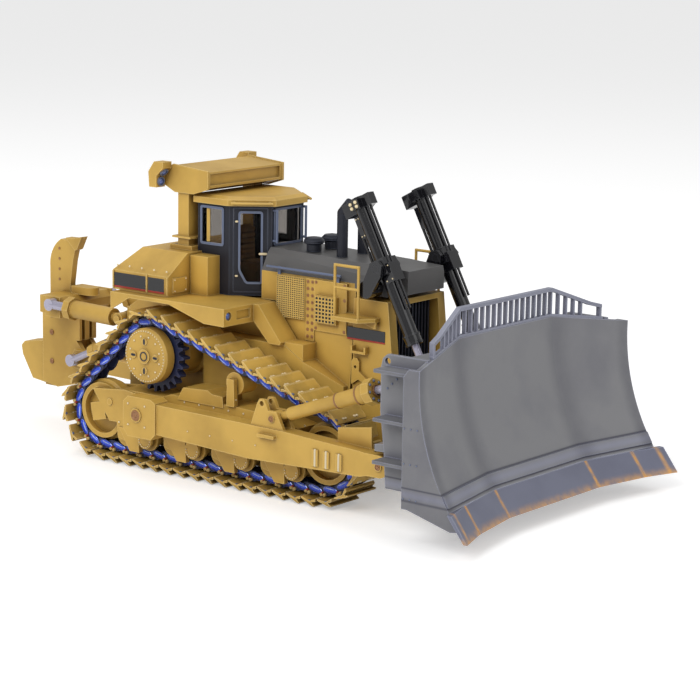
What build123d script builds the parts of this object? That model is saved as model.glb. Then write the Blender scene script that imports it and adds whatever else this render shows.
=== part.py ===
from build123d import *
import math
import os

# Bulldozer with semi-U blade and single-shank ripper: a die-cast scale model at 1:50, in mm.
# +X is forward, +Y the machine's left, +Z up. The origin is on the ground under its middle.
# Whatever exists on both sides is drawn on the left and mirrored.

# Fits and walls
run_fit = 0.05        # radial clearance of a pin that turns in its bore
seat_fit = 0.05       # clearance of a fixed piece in its seat
side_gap = 0.35       # sideways clearance of a moving piece

# Tracks
track_y = 29.1        # middle of a track
shoe_width = 13.8
shoe_count = 46
pin_radius = 11.0     # chain pins round the idlers and the sprocket
chain_phase = 0.82    # share of a pitch from the rear idler's lowest point to the first pin
link_height = 3.4
link_width = 1.3
link_offset = 2.65    # from the track's middle to the middle of a link rail
shoe_plate = 0.9
grouser = 1.7
rear_idler_x = -46.4
front_idler_x = 45.1
sprocket_x = -25.0
sprocket_z = 36.0
axle_z = pin_radius + link_height / 2 + shoe_plate + grouser
roller_radius = 3.1
roller_waist = 2.3
roller_axle = 1.3
rollers_each_side = 8
roller_pitch = 9.9
carrier_x = 9.4
carrier_radius = 3.5
teeth = 24

# Roller frame
frame_inner_y = track_y - 5.2
frame_outer_y = track_y + 5.5
frame_low_z = 13.2
frame_top_z = 23.8
frame_rise = 1.2      # the beam's middle stands higher

# Final drive
hub_radius = 8.8
hub_face_y = track_y + 6.3
hub_width = 4.6
drive_case_radius = 7.6

# Hull
hull_y = 13.6
sill_y = 20.0         # the lower wall beside the engine
case_flange_y = hull_y + 2.5
hull_rear_x = -52.0
hull_front_x = 55.5
hull_low_z = 12.0
deck_z = 54.8
deck_thick = 1.2
fender_y = track_y + 6.5
fender_front_x = 7.5
fender_rear_x = -39.5
skirt_thick = 0.9
lamp_radius = 1.3

belly_screws_x = (-38.0, 30.0)
belly_screw_radius = 1.25
belly_screw_depth = 6.0

# Tank
tank_rear_x = -42.3
tank_front_x = -18.9
tank_half = 31.5
tank_rim_z = 61.0
tank_top_z = 67.6

# Hood
hood_rear_x = 3.2
hood_front_x = 56.5

# Cab
cab_rear_x = -20.6
cab_corner_x = -7.7   # where the side turns towards the narrow front
cab_front_x = 2.6
cab_rear_y = 15.9
cab_front_y = 7.6
cab_top_z = 82.8
cab_wall = 0.9
roof_edge = 1.9
roof_crown = 0.9

# Roll-over frame
post_x = -25.2
post_y = 15.4
beam_front_x = -14.9
beam_rear_x = -33.0
beam_y = 17.7

# Push arms
trunnion_x = -20.8
trunnion_z = 19.3
trunnion_radius = 2.2
arm_inner_y = track_y + 8.9
arm_outer_y = arm_inner_y + 5.2
blade_pin_x = 73.0
blade_pin_z = 18.4
blade_pin_radius = 1.3
arm_eye_radius = 3.3

# Braces
brace_y = arm_inner_y + 2.0
brace_foot_x = 32.8
brace_foot_z = 26.2
brace_head_x = 76.4
brace_head_z = 42.2
brace_radius = 1.95
brace_rod_radius = 1.25
brace_barrel_length = 38.7

# Blade
edge_x = 105.2        # cutting edge's lower front corner at the middle
edge_z = 5.25
blade_half = 53.4
flat_half = 23.5
wing_sweep = 5.7
end_bit_x = 2.2       # how far the end bits run past the wings' edge
end_bit_y = 2.0
edge_height = 7.25
edge_run = 5.5        # how far the cutting edge leans forward
blade_top_z = 54.7
wing_top_z = 50.6
top_run = 13.5        # set back from the mouldboard's foot to its top
wing_top_run = 11.0
sheet = 1.4
sagitta = 3.2
end_plate = 1.2
back_plate_y = arm_outer_y + 1.8
back_x = 75.6
end_rear_x = 88.9     # rear edge of the end plates

# Blade lift cylinders
lift_y = 14.7
yoke_x = 52.2
yoke_z = 70.2
lift_eye_x = 75.0
lift_eye_z = 27.5
lift_radius = 2.15
lift_rod_radius = 1.15
lift_barrel_above = 22.3
lift_barrel_below = 24.7
lift_rod_length = 44.0
trunnion_pin_radius = 1.2

# Ripper
ripper_pivot_x = -55.0
ripper_pivot_z = 22.0
ripper_pin_x = -83.0
ripper_pin_z = 23.0
ripper_shaft_radius = 1.7
ripper_tube_radius = 2.0
link_arm_y = 5.7
link_arm_thick = 2.2
carrier_rear_x = -102.0
carrier_front_x = -86.7
carrier_half = 4.0
carrier_low_z = 11.4
carrier_top_z = 41.5
tilt_y = 14.2
tilt_foot_x = -55.5
tilt_foot_z = 41.3
tilt_eye_x = -87.5
tilt_eye_z = 42.0
tilt_radius = 2.9
tilt_rod_radius = 1.5
rip_lift_y = 9.2
rip_lift_foot_x = -56.5
rip_lift_foot_z = 35.0
rip_lift_radius = 2.0
rip_lift_rod_radius = 1.2
shank_thick = 2.4


def flat_face(points):
    """A face on the XZ plane, from (x, z) corners."""
    return Plane.XZ * make_face(Polyline(*points, close=True))


def plate_xz(points, y_from, y_to):
    """Corners in X and Z, thick from y_from to y_to."""
    return Pos(0, y_from, 0) * extrude(flat_face(points), amount=y_from - y_to)


def plate_xy(points, z_from, z_to):
    """Corners in X and Y, thick from z_from to z_to."""
    return Pos(0, 0, z_from) * extrude(make_face(Polyline(*points, close=True)), amount=z_to - z_from)


def block(x_from, x_to, y_from, y_to, z_from, z_to):
    """A box between two corners."""
    size = (x_to - x_from, y_to - y_from, z_to - z_from)
    centre = ((x_from + x_to) / 2, (y_from + y_to) / 2, (z_from + z_to) / 2)
    return Pos(*centre) * Box(*size)


def bar_y(x, z, radius, y_from, y_to):
    """A round bar across the machine."""
    return Pos(x, (y_from + y_to) / 2, z) * Rot(90, 0, 0) * Cylinder(radius, y_to - y_from)


def bar_x(y, z, radius, x_from, x_to):
    """A round bar along the machine."""
    return Pos((x_from + x_to) / 2, y, z) * Rot(0, 90, 0) * Cylinder(radius, x_to - x_from)


def aimed(x, y, z, to_x, to_z):
    """A place at (x, y, z) whose own +Z points at (to_x, y, to_z)."""
    return Pos(x, y, z) * Rot(0, math.degrees(math.atan2(to_x - x, to_z - z)), 0)


def span(x, z, to_x, to_z):
    """Distance between two points in the XZ plane."""
    return math.hypot(to_x - x, to_z - z)


def rod(radius, low, high):
    """A round bar on its own Z axis."""
    return Pos(0, 0, (low + high) / 2) * Cylinder(radius, high - low)


def eye(radius, half_width):
    """A round eye across the rod, at its own origin."""
    return Rot(90, 0, 0) * Cylinder(radius, 2 * half_width)


def wheel_y(x, y, z, profile):
    """A wheel on an axle across the machine, from (radius, offset along Y) corners."""
    face = Plane.XY * make_face(Polyline(*profile, close=True))
    return Pos(x, y, z) * revolve(face, axis=Axis.Y)


def mirrored(solid):
    """The same piece on the other side."""
    return mirror(solid, about=Plane.XZ)


def both(solid):
    """A piece and its mirror image."""
    return Compound(children=[solid, mirrored(solid)])


def save(name, solid):
    """Write one node's STEP file."""
    export_step(solid, f"parts/{name}.step")


def save_pair(name, solid):
    """Write a left node and its mirrored right one."""
    save(f"{name}_left", solid)
    save(f"{name}_right", mirrored(solid))


# Tracks

# Centres that the chain runs round: rear idler, front idler, sprocket
belt_corners = [(rear_idler_x, axle_z), (front_idler_x, axle_z), (sprocket_x, sprocket_z)]
belt_straights = [span(*belt_corners[index], *belt_corners[(index + 1) % 3]) for index in range(3)]
pitch = (sum(belt_straights) + 2 * math.pi * pin_radius) / shoe_count

# Straight links dip between their pins where they wrap a wheel
wrap_dip = math.cos(pitch / (2 * pin_radius))
tread_radius = (pin_radius - link_height / 2) * wrap_dip - seat_fit


def belt_pins():
    """Every chain pin's place, evenly spaced along the belt."""
    stretches = []
    for index, (x, z) in enumerate(belt_corners):
        next_x, next_z = belt_corners[(index + 1) % 3]
        after_x, after_z = belt_corners[(index + 2) % 3]
        heading = math.atan2(next_z - z, next_x - x)
        after = math.atan2(after_z - next_z, after_x - next_x)
        turn = (after - heading) % (2 * math.pi)
        stretches.append((x, z, heading, belt_straights[index], turn))
    pins = []
    for number in range(shoe_count):
        left = (number + chain_phase) * pitch
        for x, z, heading, length, turn in stretches:
            if left <= length:
                outward = heading - math.pi / 2
                pins.append((x + left * math.cos(heading) + pin_radius * math.cos(outward),
                             z + left * math.sin(heading) + pin_radius * math.sin(outward)))
                break
            left -= length
            if left <= pin_radius * turn:
                outward = heading - math.pi / 2 + left / pin_radius
                end_x = x + length * math.cos(heading)
                end_z = z + length * math.sin(heading)
                pins.append((end_x + pin_radius * math.cos(outward),
                             end_z + pin_radius * math.sin(outward)))
                break
            left -= pin_radius * turn
    return pins


def corners_only(points):
    """The points of a closed outline without those that lie on a straight run."""
    straight = 1e-6
    kept = []
    for index, (x, z) in enumerate(points):
        before_x, before_z = points[index - 1]
        after_x, after_z = points[(index + 1) % len(points)]
        bend = (x - before_x) * (after_z - z) - (z - before_z) * (after_x - x)
        if abs(bend) > straight:
            kept.append((x, z))
    return kept


def track():
    """One closed loop: two link rails with the grouser shoes seated on them."""
    pins = belt_pins()
    rail_top = link_height / 2
    # share of the pitch along a shoe, height over the rails
    shoe_profile = [(0.04, 0), (0.04, 0.5), (0.62, shoe_plate + 0.1), (0.80, shoe_plate + grouser),
                    (0.88, shoe_plate + grouser), (0.97, shoe_plate), (0.97, 0)]
    shoes = []
    outer, inner = [], []
    for index, (x, z) in enumerate(pins):
        next_x, next_z = pins[(index + 1) % shoe_count]
        length = span(x, z, next_x, next_z)
        along = ((next_x - x) / length, (next_z - z) / length)
        out = (along[1], -along[0])
        corners = [(x + along[0] * share * length + out[0] * (rail_top + height),
                    z + along[1] * share * length + out[1] * (rail_top + height))
                   for share, height in shoe_profile]
        shoes.append(plate_xz(corners, track_y - shoe_width / 2, track_y + shoe_width / 2))
        before_x, before_z = pins[index - 1]
        heading_in = math.atan2(z - before_z, x - before_x)
        heading_out = math.atan2(next_z - z, next_x - x)
        half_turn = math.remainder(heading_out - heading_in, 2 * math.pi) / 2
        heading = heading_in + half_turn
        normal = (math.sin(heading), -math.cos(heading))
        mitre = rail_top / math.cos(half_turn)
        outer.append((x + normal[0] * mitre, z + normal[1] * mitre))
        inner.append((x - normal[0] * rail_top, z - normal[1] * rail_top))
    ring = flat_face(corners_only(outer)) - flat_face(corners_only(inner))
    rails = []
    for side in (-1, 1):
        middle = track_y + side * link_offset
        rails.append(Pos(0, middle - link_width / 2, 0) * extrude(ring, amount=-link_width))
    return rails[0] + rails[1:] + shoes


idler_hub_half = 3.2


def idler():
    """Dished wheel with a raised middle flange between the link rails."""
    rail_inner = link_offset - link_width / 2 - 0.2
    half = link_offset + link_width / 2
    hub = idler_hub_half
    rim = tread_radius - 1.5
    profile = [(0, -hub), (2.6, -hub), (2.6, -1.2), (rim, -0.9), (rim, -half), (tread_radius, -half),
               (tread_radius, -rail_inner), (tread_radius + 0.9, -rail_inner + 0.5),
               (tread_radius + 0.9, rail_inner - 0.5), (tread_radius, rail_inner), (tread_radius, half),
               (rim, half), (rim, 0.9), (2.6, 1.2), (2.6, hub), (0, hub)]
    return profile


def idlers():
    """Front and rear idlers of both tracks."""
    return Compound(children=[wheel_y(x, y, axle_z, idler()) for x in (rear_idler_x, front_idler_x)
                              for y in (-track_y, track_y)])


def sprocket():
    """Toothed ring that stands between the link rails."""
    root = pin_radius - 1.1
    tip = pin_radius + 0.8
    step = 2 * math.pi / teeth
    corners = []
    for number in range(teeth):
        angle = number * step
        for share, radius in ((-0.30, root), (-0.12, tip), (0.12, tip), (0.30, root)):
            corners.append((sprocket_x + radius * math.cos(angle + share * step),
                            sprocket_z + radius * math.sin(angle + share * step)))
    ring = plate_xz(corners, track_y - 1.5, track_y + 1.5)
    return ring - bar_y(sprocket_x, sprocket_z, 6.2 + seat_fit, track_y - 3, track_y + 3)


def final_drive():
    """Bolted hub outside the sprocket, its shaft and the case towards the hull."""
    inner = hub_face_y - hub_width - track_y
    face = hub_face_y - track_y
    flange = case_flange_y - track_y
    neck = 6.2        # shaft through the sprocket's ring
    profile = [(0, hull_y - track_y), (drive_case_radius + 0.8, hull_y - track_y),
               (drive_case_radius + 0.8, flange), (drive_case_radius, flange + 0.6), (drive_case_radius, -6.2),
               (drive_case_radius - 1.2, -4.4), (neck, -4.0), (neck, inner), (hub_radius - 0.7, inner),
               (hub_radius, inner + 0.7), (hub_radius, face - 0.8), (hub_radius - 0.6, face), (0, face)]
    drive = wheel_y(sprocket_x, track_y, sprocket_z, profile)
    drive += bar_y(sprocket_x, sprocket_z, 2.3, hub_face_y - 0.5, hub_face_y + 0.6)
    for number in range(4):
        angle = math.radians(90 * number)
        drive += bar_y(sprocket_x + 4.6 * math.cos(angle), sprocket_z + 4.6 * math.sin(angle), 1.1,
                       hub_face_y - 0.5, hub_face_y + 0.4)
    return drive


def roller_places():
    """X of each bottom roller."""
    middle = (rear_idler_x + front_idler_x) / 2
    first = middle - roller_pitch * (rollers_each_side - 1) / 2
    return [first + roller_pitch * number for number in range(rollers_each_side)]


roller_z = axle_z - pin_radius + link_height / 2 + roller_radius + seat_fit


def rollers():
    """Bottom rollers of both tracks, flanged outside the rails and slim between them."""
    half = link_offset + link_width / 2 + 0.15
    flange = half + 0.6
    waist = link_offset - link_width / 2 - 0.2
    flange_radius = roller_radius + 0.6
    profile = [(0, -axle_reach), (roller_axle, -axle_reach), (roller_axle, -flange), (flange_radius, -flange),
               (flange_radius, -half), (roller_radius, -half), (roller_radius, -waist), (roller_waist, -waist),
               (roller_waist, waist), (roller_radius, waist), (roller_radius, half), (flange_radius, half),
               (flange_radius, flange), (roller_axle, flange), (roller_axle, axle_reach), (0, axle_reach)]
    return Compound(children=[wheel_y(x, y, roller_z, profile) for x in roller_places()
                              for y in (-track_y, track_y)])


def upper_run_z(x):
    """Height of the chain's underside on the upper run at x."""
    slope = (axle_z - sprocket_z) / (front_idler_x - sprocket_x)
    middle = sprocket_z + slope * (x - sprocket_x)
    return middle + (pin_radius - link_height / 2) * math.hypot(1, slope)


carrier_z = upper_run_z(carrier_x) - (carrier_radius + seat_fit) * 1.043


def carrier_roller():
    """Roller under the upper run, on an upright post."""
    half = link_offset + link_width / 2
    profile = [(0, -half), (carrier_radius, -half), (carrier_radius, half), (1.2, half),
               (1.2, half + 1.6), (0, half + 1.6)]
    roller = wheel_y(carrier_x, track_y, carrier_z, profile)
    post_y = track_y + half + 0.5
    foot = frame_top_z + frame_rise + seat_fit
    post = plate_xz([(carrier_x - 1.6, foot), (carrier_x - 1.3, carrier_z + 1.6),
                     (carrier_x + 1.3, carrier_z + 1.6), (carrier_x + 1.6, foot)], post_y, post_y + 1.6)
    return roller + post


bracket_clear = 4.3   # roller brackets from the track's middle
axle_reach = 4.9      # roller axles end inside the brackets
claw_z = 4.7          # lower end of the claws between the rollers


def track_frame():
    """Roller frame: box beam, fork ends for the idlers, roller brackets and the arm's trunnion."""
    tail_x = rear_idler_x + tread_radius + 1.0
    nose_x = front_idler_x - tread_radius - 1.0
    rise_z = frame_top_z + frame_rise
    beam = plate_xz([(tail_x, frame_low_z + 1.8), (tail_x + 2, frame_low_z), (nose_x - 2, frame_low_z),
                     (nose_x, frame_low_z + 1.8), (nose_x, frame_top_z - 1.8), (nose_x - 12, rise_z - 0.4),
                     (carrier_x + 3, rise_z), (trunnion_x + 5, rise_z), (trunnion_x + 2, frame_top_z),
                     (tail_x, frame_top_z)], frame_inner_y, frame_outer_y - 1.0)
    hump = plate_xz([(carrier_x - 22, rise_z - 1), (carrier_x - 21.4, rise_z + 0.2),
                     (carrier_x - 19.7, rise_z + 3.0), (carrier_x - 9.8, rise_z + 3.6),
                     (carrier_x - 7.9, rise_z + 2.6), (carrier_x - 3.6, rise_z + 2.4),
                     (carrier_x - 3.3, rise_z - 1)], frame_inner_y + 1, frame_outer_y - 0.6)
    fork = []
    for y_from, y_to in ((frame_inner_y, frame_inner_y + 1.5), (frame_outer_y - 1.8, frame_outer_y)):
        fork.append(plate_xz([(rear_idler_x - 1.9, axle_z + 7.2), (rear_idler_x + 5.3, axle_z - 2.3),
                              (tail_x + 8, frame_low_z + 0.2), (tail_x + 8, frame_top_z - 0.6),
                              (tail_x + 1.7, frame_top_z + 0.1)], y_from, y_to))
        fork.append(plate_xz([(rear_idler_x - 3.0, axle_z + 2.3), (rear_idler_x - 1.8, axle_z - 3.3),
                              (rear_idler_x + 3.8, axle_z - 1.9), (rear_idler_x + 2.4, axle_z + 3.6)],
                             y_from, y_to))
        fork.append(plate_xz([(nose_x - 8, frame_low_z + 0.2), (front_idler_x + 1.8, axle_z - 1.9),
                              (front_idler_x + 2.4, axle_z + 2.1), (front_idler_x - 2, axle_z + 5.3),
                              (nose_x - 8, frame_top_z - 1.0)], y_from, y_to))
    fork.append(bar_y(rear_idler_x + 5.7, axle_z + 3.9, 1.1, frame_outer_y - 0.5, frame_outer_y + 0.4))
    brackets = []
    places = roller_places()
    for first in range(0, rollers_each_side, 2):
        middle = (places[first] + places[first + 1]) / 2
        for y_from, y_to in ((frame_inner_y, track_y - bracket_clear),
                             (track_y + bracket_clear, frame_outer_y)):
            brackets.append(plate_xz([(middle - 7.6, frame_low_z + 0.4), (middle - 7.0, roller_z - 1.0),
                                      (middle - 3.4, roller_z - 1.8), (middle + 3.4, roller_z - 1.8),
                                      (middle + 7.0, roller_z - 1.0), (middle + 7.6, frame_low_z + 0.4)],
                                     y_from, y_to))
        brackets.append(plate_xz([(middle - 6.5, roller_z + 2.6), (middle - 1.6, claw_z),
                                  (middle + 2.4, claw_z), (middle + 2.0, roller_z + 2.6)],
                                 track_y + bracket_clear, frame_outer_y + 0.4))
        brackets.append(bar_y(places[first + 1], roller_z, 2.8, frame_outer_y - 0.2, frame_outer_y + 0.6))
    frame = beam + hump + fork + brackets
    for x in roller_places():
        frame -= bar_y(x, roller_z, roller_axle + seat_fit, track_y - axle_reach - seat_fit,
                       track_y + axle_reach + seat_fit)
    for x in (rear_idler_x, front_idler_x):
        frame += bar_y(x, axle_z, 1.6, track_y + idler_hub_half + seat_fit, frame_outer_y)
        frame += bar_y(x, axle_z, 1.6, frame_inner_y, track_y - idler_hub_half - seat_fit)
    frame += bar_y(trunnion_x, trunnion_z, 4.2, frame_outer_y - 1.5, arm_inner_y - side_gap)
    frame += bar_y(trunnion_x, trunnion_z, trunnion_radius, frame_outer_y, arm_outer_y + 1.0)
    return frame


# Hull and superstructure

def hull():
    """Main case between the tracks, its sills and the axle tubes that carry the roller frames."""
    body = plate_xz([(hull_rear_x, 17), (hull_rear_x + 5, hull_low_z), (38, hull_low_z), (40, deck_z),
                     (fender_rear_x - 1, deck_z - deck_thick), (hull_rear_x, 46)], -hull_y, hull_y)
    rear_x = sprocket_x + drive_case_radius + 3.0
    plan = plate_xy([(rear_x, hull_y - 1), (rear_x, sill_y), (step_front_x, sill_y), (38.0, hull_y + 2.0),
                     (38.0, hull_y - 1)], hull_low_z + 2, step_z)
    side = plate_xz([(rear_x, hull_low_z + 2), (rear_x, step_z - 0.9), (step_rear_x, step_z - 0.9),
                     (step_front_x, step_low_z), (38.0, step_low_z - 6.6), (38.0, hull_low_z + 2)],
                    hull_y - 2, sill_y + 1)
    sill = plan & side
    body += [sill, mirrored(sill)]
    for x in (-32.0, 26.0):
        body += bar_y(x, 18.0, 3.6, -frame_inner_y, frame_inner_y)
    for y in (2.2, -4.0):
        body += plate_xz([(hull_rear_x + 1, 17.5), (ripper_pivot_x - 2.4, ripper_pivot_z - 2.4),
                          (ripper_pivot_x - 2.4, ripper_pivot_z + 2.0), (hull_rear_x + 1, 28)], y, y + 1.8)
    body += bar_y(ripper_pivot_x, ripper_pivot_z, ripper_shaft_radius, -8.0, 8.0)
    for x in belly_screws_x:
        body -= Pos(x, 0, hull_low_z) * rod(belly_screw_radius, -1, belly_screw_depth)
    return body


panel_proud = 0.5     # side panels out of the case's side
step_rear_x = 18.2
step_front_x = 25.7
step_z = 44.1
step_low_z = 38.9
ramp_y = 22.0


def hull_steps():
    """Steps from the left fender down to the sill, with the handle and the lock lever on the case."""
    inner = hull_y + seat_fit
    beside = hull_y + panel_proud + seat_fit
    front = fender_front_x + seat_fit
    ramp = plate_xz([(front, deck_z - seat_fit), (front + 2, deck_z), (step_rear_x + 0.3, step_z),
                     (step_rear_x, step_z - 0.8), (step_rear_x - 4.4, step_z - 0.8), (front, deck_z - 5.2)],
                    beside, ramp_y)
    box = plate_xz([(step_rear_x - 0.6, step_z), (step_front_x, step_z), (step_front_x, step_low_z + 0.1),
                    (step_rear_x, step_z - 0.8)], inner, sill_y)
    wall = hull_y + 0.4 + seat_fit
    handle = block(40.6, 46.2, wall, wall + 1.8, 43.2, 43.9)
    handle += block(40.6, 41.2, wall, wall + 1.8, 43.2, 45.4) + block(45.6, 46.2, wall, wall + 1.8, 43.2, 45.4)
    lever = plate_xz([(40.4, 33.5), (40.4, 40.6), (41.2, 41.7), (42.4, 41.7), (43.2, 40.6), (43.2, 37.6),
                      (46.6, 35.4), (45.6, 34.0), (43.0, 35.2)], wall, wall + 0.9)
    lever -= bar_y(41.8, 38.9, 0.5, wall - 1, wall + 2)
    return Compound(children=[ramp + box, handle, lever])


bracket_x = hull_rear_x - 1.2


def ripper_mounts():
    """Lugs on the hull's back for the four ripper cylinders, with their pins."""
    mounts = []
    # x, z and y of a foot pin, half width of the eye, pin radius
    for x, z, y, half, radius in ((tilt_foot_x, tilt_foot_z, tilt_y, 1.6, 1.2),
                                  (rip_lift_foot_x, rip_lift_foot_z, rip_lift_y, 1.2, 1.0)):
        pin = bar_y(x, z, radius, y - half - side_gap - 1.0, y + half + 0.6)
        inner = y - half - side_gap
        lug = plate_xz([(bracket_x, z - 3.2), (x - 0.5, z - 2.0), (x - 2.0, z), (x - 0.5, z + 2.0),
                        (bracket_x, z + 3.2)], inner - 1.4, inner)
        mounts.append(pin + lug)
    return mounts


def rear_bracket():
    """Plate across the hull's back that carries the ripper lugs."""
    bracket = block(hull_rear_x - 1.3, hull_rear_x - seat_fit, -hull_y, hull_y, 29.0, 45.5)
    for mount in ripper_mounts():
        bracket += [mount, mirrored(mount)]
    return bracket


def radiator_guard():
    """Front housing: side plates, top and bottom rails, open in front for the grille."""
    outline = [(40.2, hull_low_z), (50, 14), (hull_front_x, 22), (54.6, 45), (53.0, 59.6), (40.2, 59.6)]
    body = plate_xz(outline, -hull_y - 0.4, hull_y + 0.4)
    window = block(46, 70, -10.6, 10.6, 22, 58)
    return body - window


def grille():
    """Radiator grille: a core with upright bars."""
    core = block(46.05, 49.5, -10.55, 10.55, 22.05, 57.95)
    bars = [block(49.4, 50.6, y - 0.25, y + 0.25, 22.05, 57.95) for y in [-9.6 + 1.6 * n for n in range(13)]]
    return core + bars


def enclosure():
    """Engine side enclosure with the frames of its perforated panels."""
    low = deck_z + seat_fit
    top = 63.4
    body = block(hood_rear_x, 40.1, -hull_y + 0.6, hull_y - 0.6, low, top + 0.3)
    # x from, x to, z from, how far it stands out of the case's side
    for x_from, x_to, z_from, proud in ((10.2, 21.6, 50.3, panel_proud), (21.6, 24.9, 44.3, 0.3),
                                        (24.9, 37.5, 47.8, panel_proud), (26.4, 34.6, 50.5, 1.9)):
        panel = block(x_from, x_to, hull_y + seat_fit, hull_y + proud, z_from, top)
        panel += block(x_from, x_to, hull_y - 0.8, hull_y + proud, low, top)
        if proud > 1:
            panel = block(x_from, x_to, hull_y + 0.3, hull_y + proud, z_from, 59.0)
        body += [panel, mirrored(panel)]
    return body


def hood_section(x, low_half, low_z, fold_half, fold_z, top_half, top_z):
    """One cross-section of the hood at x."""
    half = [(low_half, low_z), (fold_half, fold_z), (top_half, top_z)]
    points = half + [(-y, z) for y, z in reversed(half)]
    return Pos(x, 0, 0) * (Plane.YZ * make_face(Polyline(*points, close=True)))


hood_top_rear_z = 70.4
hood_top_front_z = 69.2
hood_shoulder_x = 44.0


def hood_top_z(x):
    """Height of the hood's flat top at x, behind its shoulders."""
    share = (x - hood_rear_x) / (hood_shoulder_x - hood_rear_x)
    return hood_top_rear_z + share * (hood_top_front_z - hood_top_rear_z)


bulge_y = hull_y - 2.4
bulge_z = 63.1
bulge_radius = 2.6


def hood():
    """Hood: a lofted top, skirts ahead of the panels, side bulges and the nose."""
    rear = hood_section(hood_rear_x, 12.9, 63.8, 10.2, 69.0, 8.8, hood_top_rear_z)
    front = hood_section(hood_shoulder_x, 13.2, 63.8, 12.4, 66.4, 8.8, hood_top_front_z)
    neck = hood_section(47.5, 9.2, 60.2, 9.2, 66.4, 8.6, 69.0)
    nose = hood_section(hood_front_x, 9.0, 61.6, 9.0, 66.6, 8.4, 68.6)
    top = loft([rear, front], ruled=True)
    shoulder = hood_section(hood_shoulder_x, 13.2, 60.2, 12.4, 66.4, 8.8, hood_top_front_z)
    collar = loft([shoulder, neck], ruled=True)
    cap = loft([neck, nose], ruled=True)
    bulge = bar_x(bulge_y, bulge_z, bulge_radius, 40.3, 50.6)
    return top + collar + cap + [bulge, mirrored(bulge)]


def fender():
    """Deck over one track with its skirt, boxed front and rear gusset."""
    under = deck_z - 0.1
    skirt_z = deck_z - 5.5
    deck = block(fender_rear_x, fender_front_x, hull_y, fender_y, deck_z - deck_thick, deck_z)
    skirt = plate_xz([(fender_front_x, under), (fender_front_x, skirt_z), (fender_front_x - 8, skirt_z + 0.1),
                      (fender_front_x - 21.9, under - 1.3), (fender_front_x - 23, under)],
                     fender_y - skirt_thick, fender_y)
    gusset = plate_xz([(fender_rear_x, under), (fender_rear_x, skirt_z - 0.1), (fender_rear_x + 10, under)],
                      fender_y - skirt_thick, fender_y)
    front = block(fender_front_x - 1.2, fender_front_x, ramp_y - 1, fender_y, skirt_z, under)
    front -= block(fender_front_x - 0.5, fender_front_x + 1, ramp_y + 1.4, ramp_y + 7.7,
                   skirt_z + 1.6, under - 0.4)
    front -= bar_x(fender_y - 2.3, skirt_z + 3.0, lamp_radius, fender_front_x - 0.7, fender_front_x + 1)
    inner = block(fender_front_x - 1.2, fender_front_x, hull_y, ramp_y, deck_z - 4.6, under)
    return deck + skirt + gusset + front + inner


def tank():
    """Rear tank on both decks, its top sloped towards the back and sides."""
    low = deck_z + seat_fit
    crown_rear_x = tank_rear_x + 4.4
    crown_half = tank_half - 9.0
    rim_middle = (tank_rear_x + tank_front_x) / 2
    crown_middle = (crown_rear_x + tank_front_x) / 2
    rim_face = Pos(rim_middle, 0, 0) * Rectangle(tank_front_x - tank_rear_x, 2 * tank_half)
    crown_face = Pos(crown_middle, 0, 0) * Rectangle(tank_front_x - crown_rear_x, 2 * crown_half)
    solid = Pos(0, 0, low) * extrude(rim_face, amount=tank_rim_z - low)
    solid += loft([Pos(0, 0, tank_rim_z) * rim_face, Pos(0, 0, tank_top_z) * crown_face], ruled=True)
    cover = block(tank_front_x - 0.2, tank_front_x + 0.4, tank_half - 8.2, tank_half - 2.0, 55.9, 60.4)
    solid += [cover, mirrored(cover)]
    return solid - block(cab_rear_x - seat_fit, 0, -cab_rear_y - seat_fit, cab_rear_y + seat_fit, low - 1, 80)


def side_box():
    """Tall locker between the tank and the cab."""
    return block(-18.6, -11.5, cab_rear_y + 0.1, 21.6, deck_z + 0.05, 67.0)


def cab_plan(inset, front_inset=None):
    """Cab outline in plan, moved inwards."""
    front_inset = inset if front_inset is None else front_inset
    lean = math.atan2(cab_rear_y - cab_front_y, cab_front_x - cab_corner_x)
    shift = inset * math.tan(lean / 2)
    front_shift = inset / math.cos(lean) - front_inset * math.tan(lean)
    half = [(cab_rear_x + inset, cab_rear_y - inset), (cab_corner_x - shift, cab_rear_y - inset),
            (cab_front_x - front_inset, cab_front_y - front_shift)]
    return half + [(x, -y) for x, y in reversed(half)]


def cab_shell():
    """Hollow cab: floor and walls with windows and door openings cut."""
    low = deck_z + 0.05
    walls = plate_xy(cab_plan(0), low, cab_top_z)
    walls -= plate_xy(cab_plan(cab_wall), low + 1.0, cab_top_z + 1)
    x_from, x_to, z_from, z_to = side_window
    walls -= block(x_from, x_to, -30, 30, z_from, z_to)
    half, z_from, z_to = front_window
    walls -= block(0, 10, -half, half, z_from, z_to)
    half, z_from, z_to = rear_window
    walls -= block(-30, -18, -half, half, z_from, z_to)
    walls -= both(door_cut(0.0))
    return walls


def door_frame():
    """The middle of the slanted door wall on the floor's level, with +X along the wall."""
    middle_x = (cab_corner_x + cab_front_x) / 2
    middle_y = (cab_rear_y + cab_front_y) / 2
    heading = math.degrees(math.atan2(cab_front_y - cab_rear_y, cab_front_x - cab_corner_x))
    return Pos(middle_x, middle_y, 0) * Rot(0, 0, heading)


door_width = 10.6
door_low_z = deck_z + 1.2
door_high_z = cab_top_z - 0.7


def door_cut(grow):
    """Opening for the door."""
    return door_frame() * block(-door_width / 2 - grow, door_width / 2 + grow, -3, 3,
                                door_low_z - grow, door_high_z + grow)


def door():
    """Closed door with its tall window, lower rear corner cut."""
    panel = door_frame() * block(-door_width / 2 + seat_fit, door_width / 2 - seat_fit, -cab_wall, 0,
                                 door_low_z + seat_fit, door_high_z - seat_fit)
    return panel - door_frame() * plate_xz(door_window, -3, 3)


side_window = (-18.8, -10.5, 70.6, 81.4)      # x from, x to, z from, z to
front_window = (6.2, 71.0, 81.4)              # half width, z from, z to
rear_window = (11.0, 68.6, 81.4)
door_window = [(-3.2, 63.0), (-1.2, 59.2), (3.2, 59.2), (3.2, 80.6), (-3.2, 80.6)]
pane = 0.4


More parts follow.
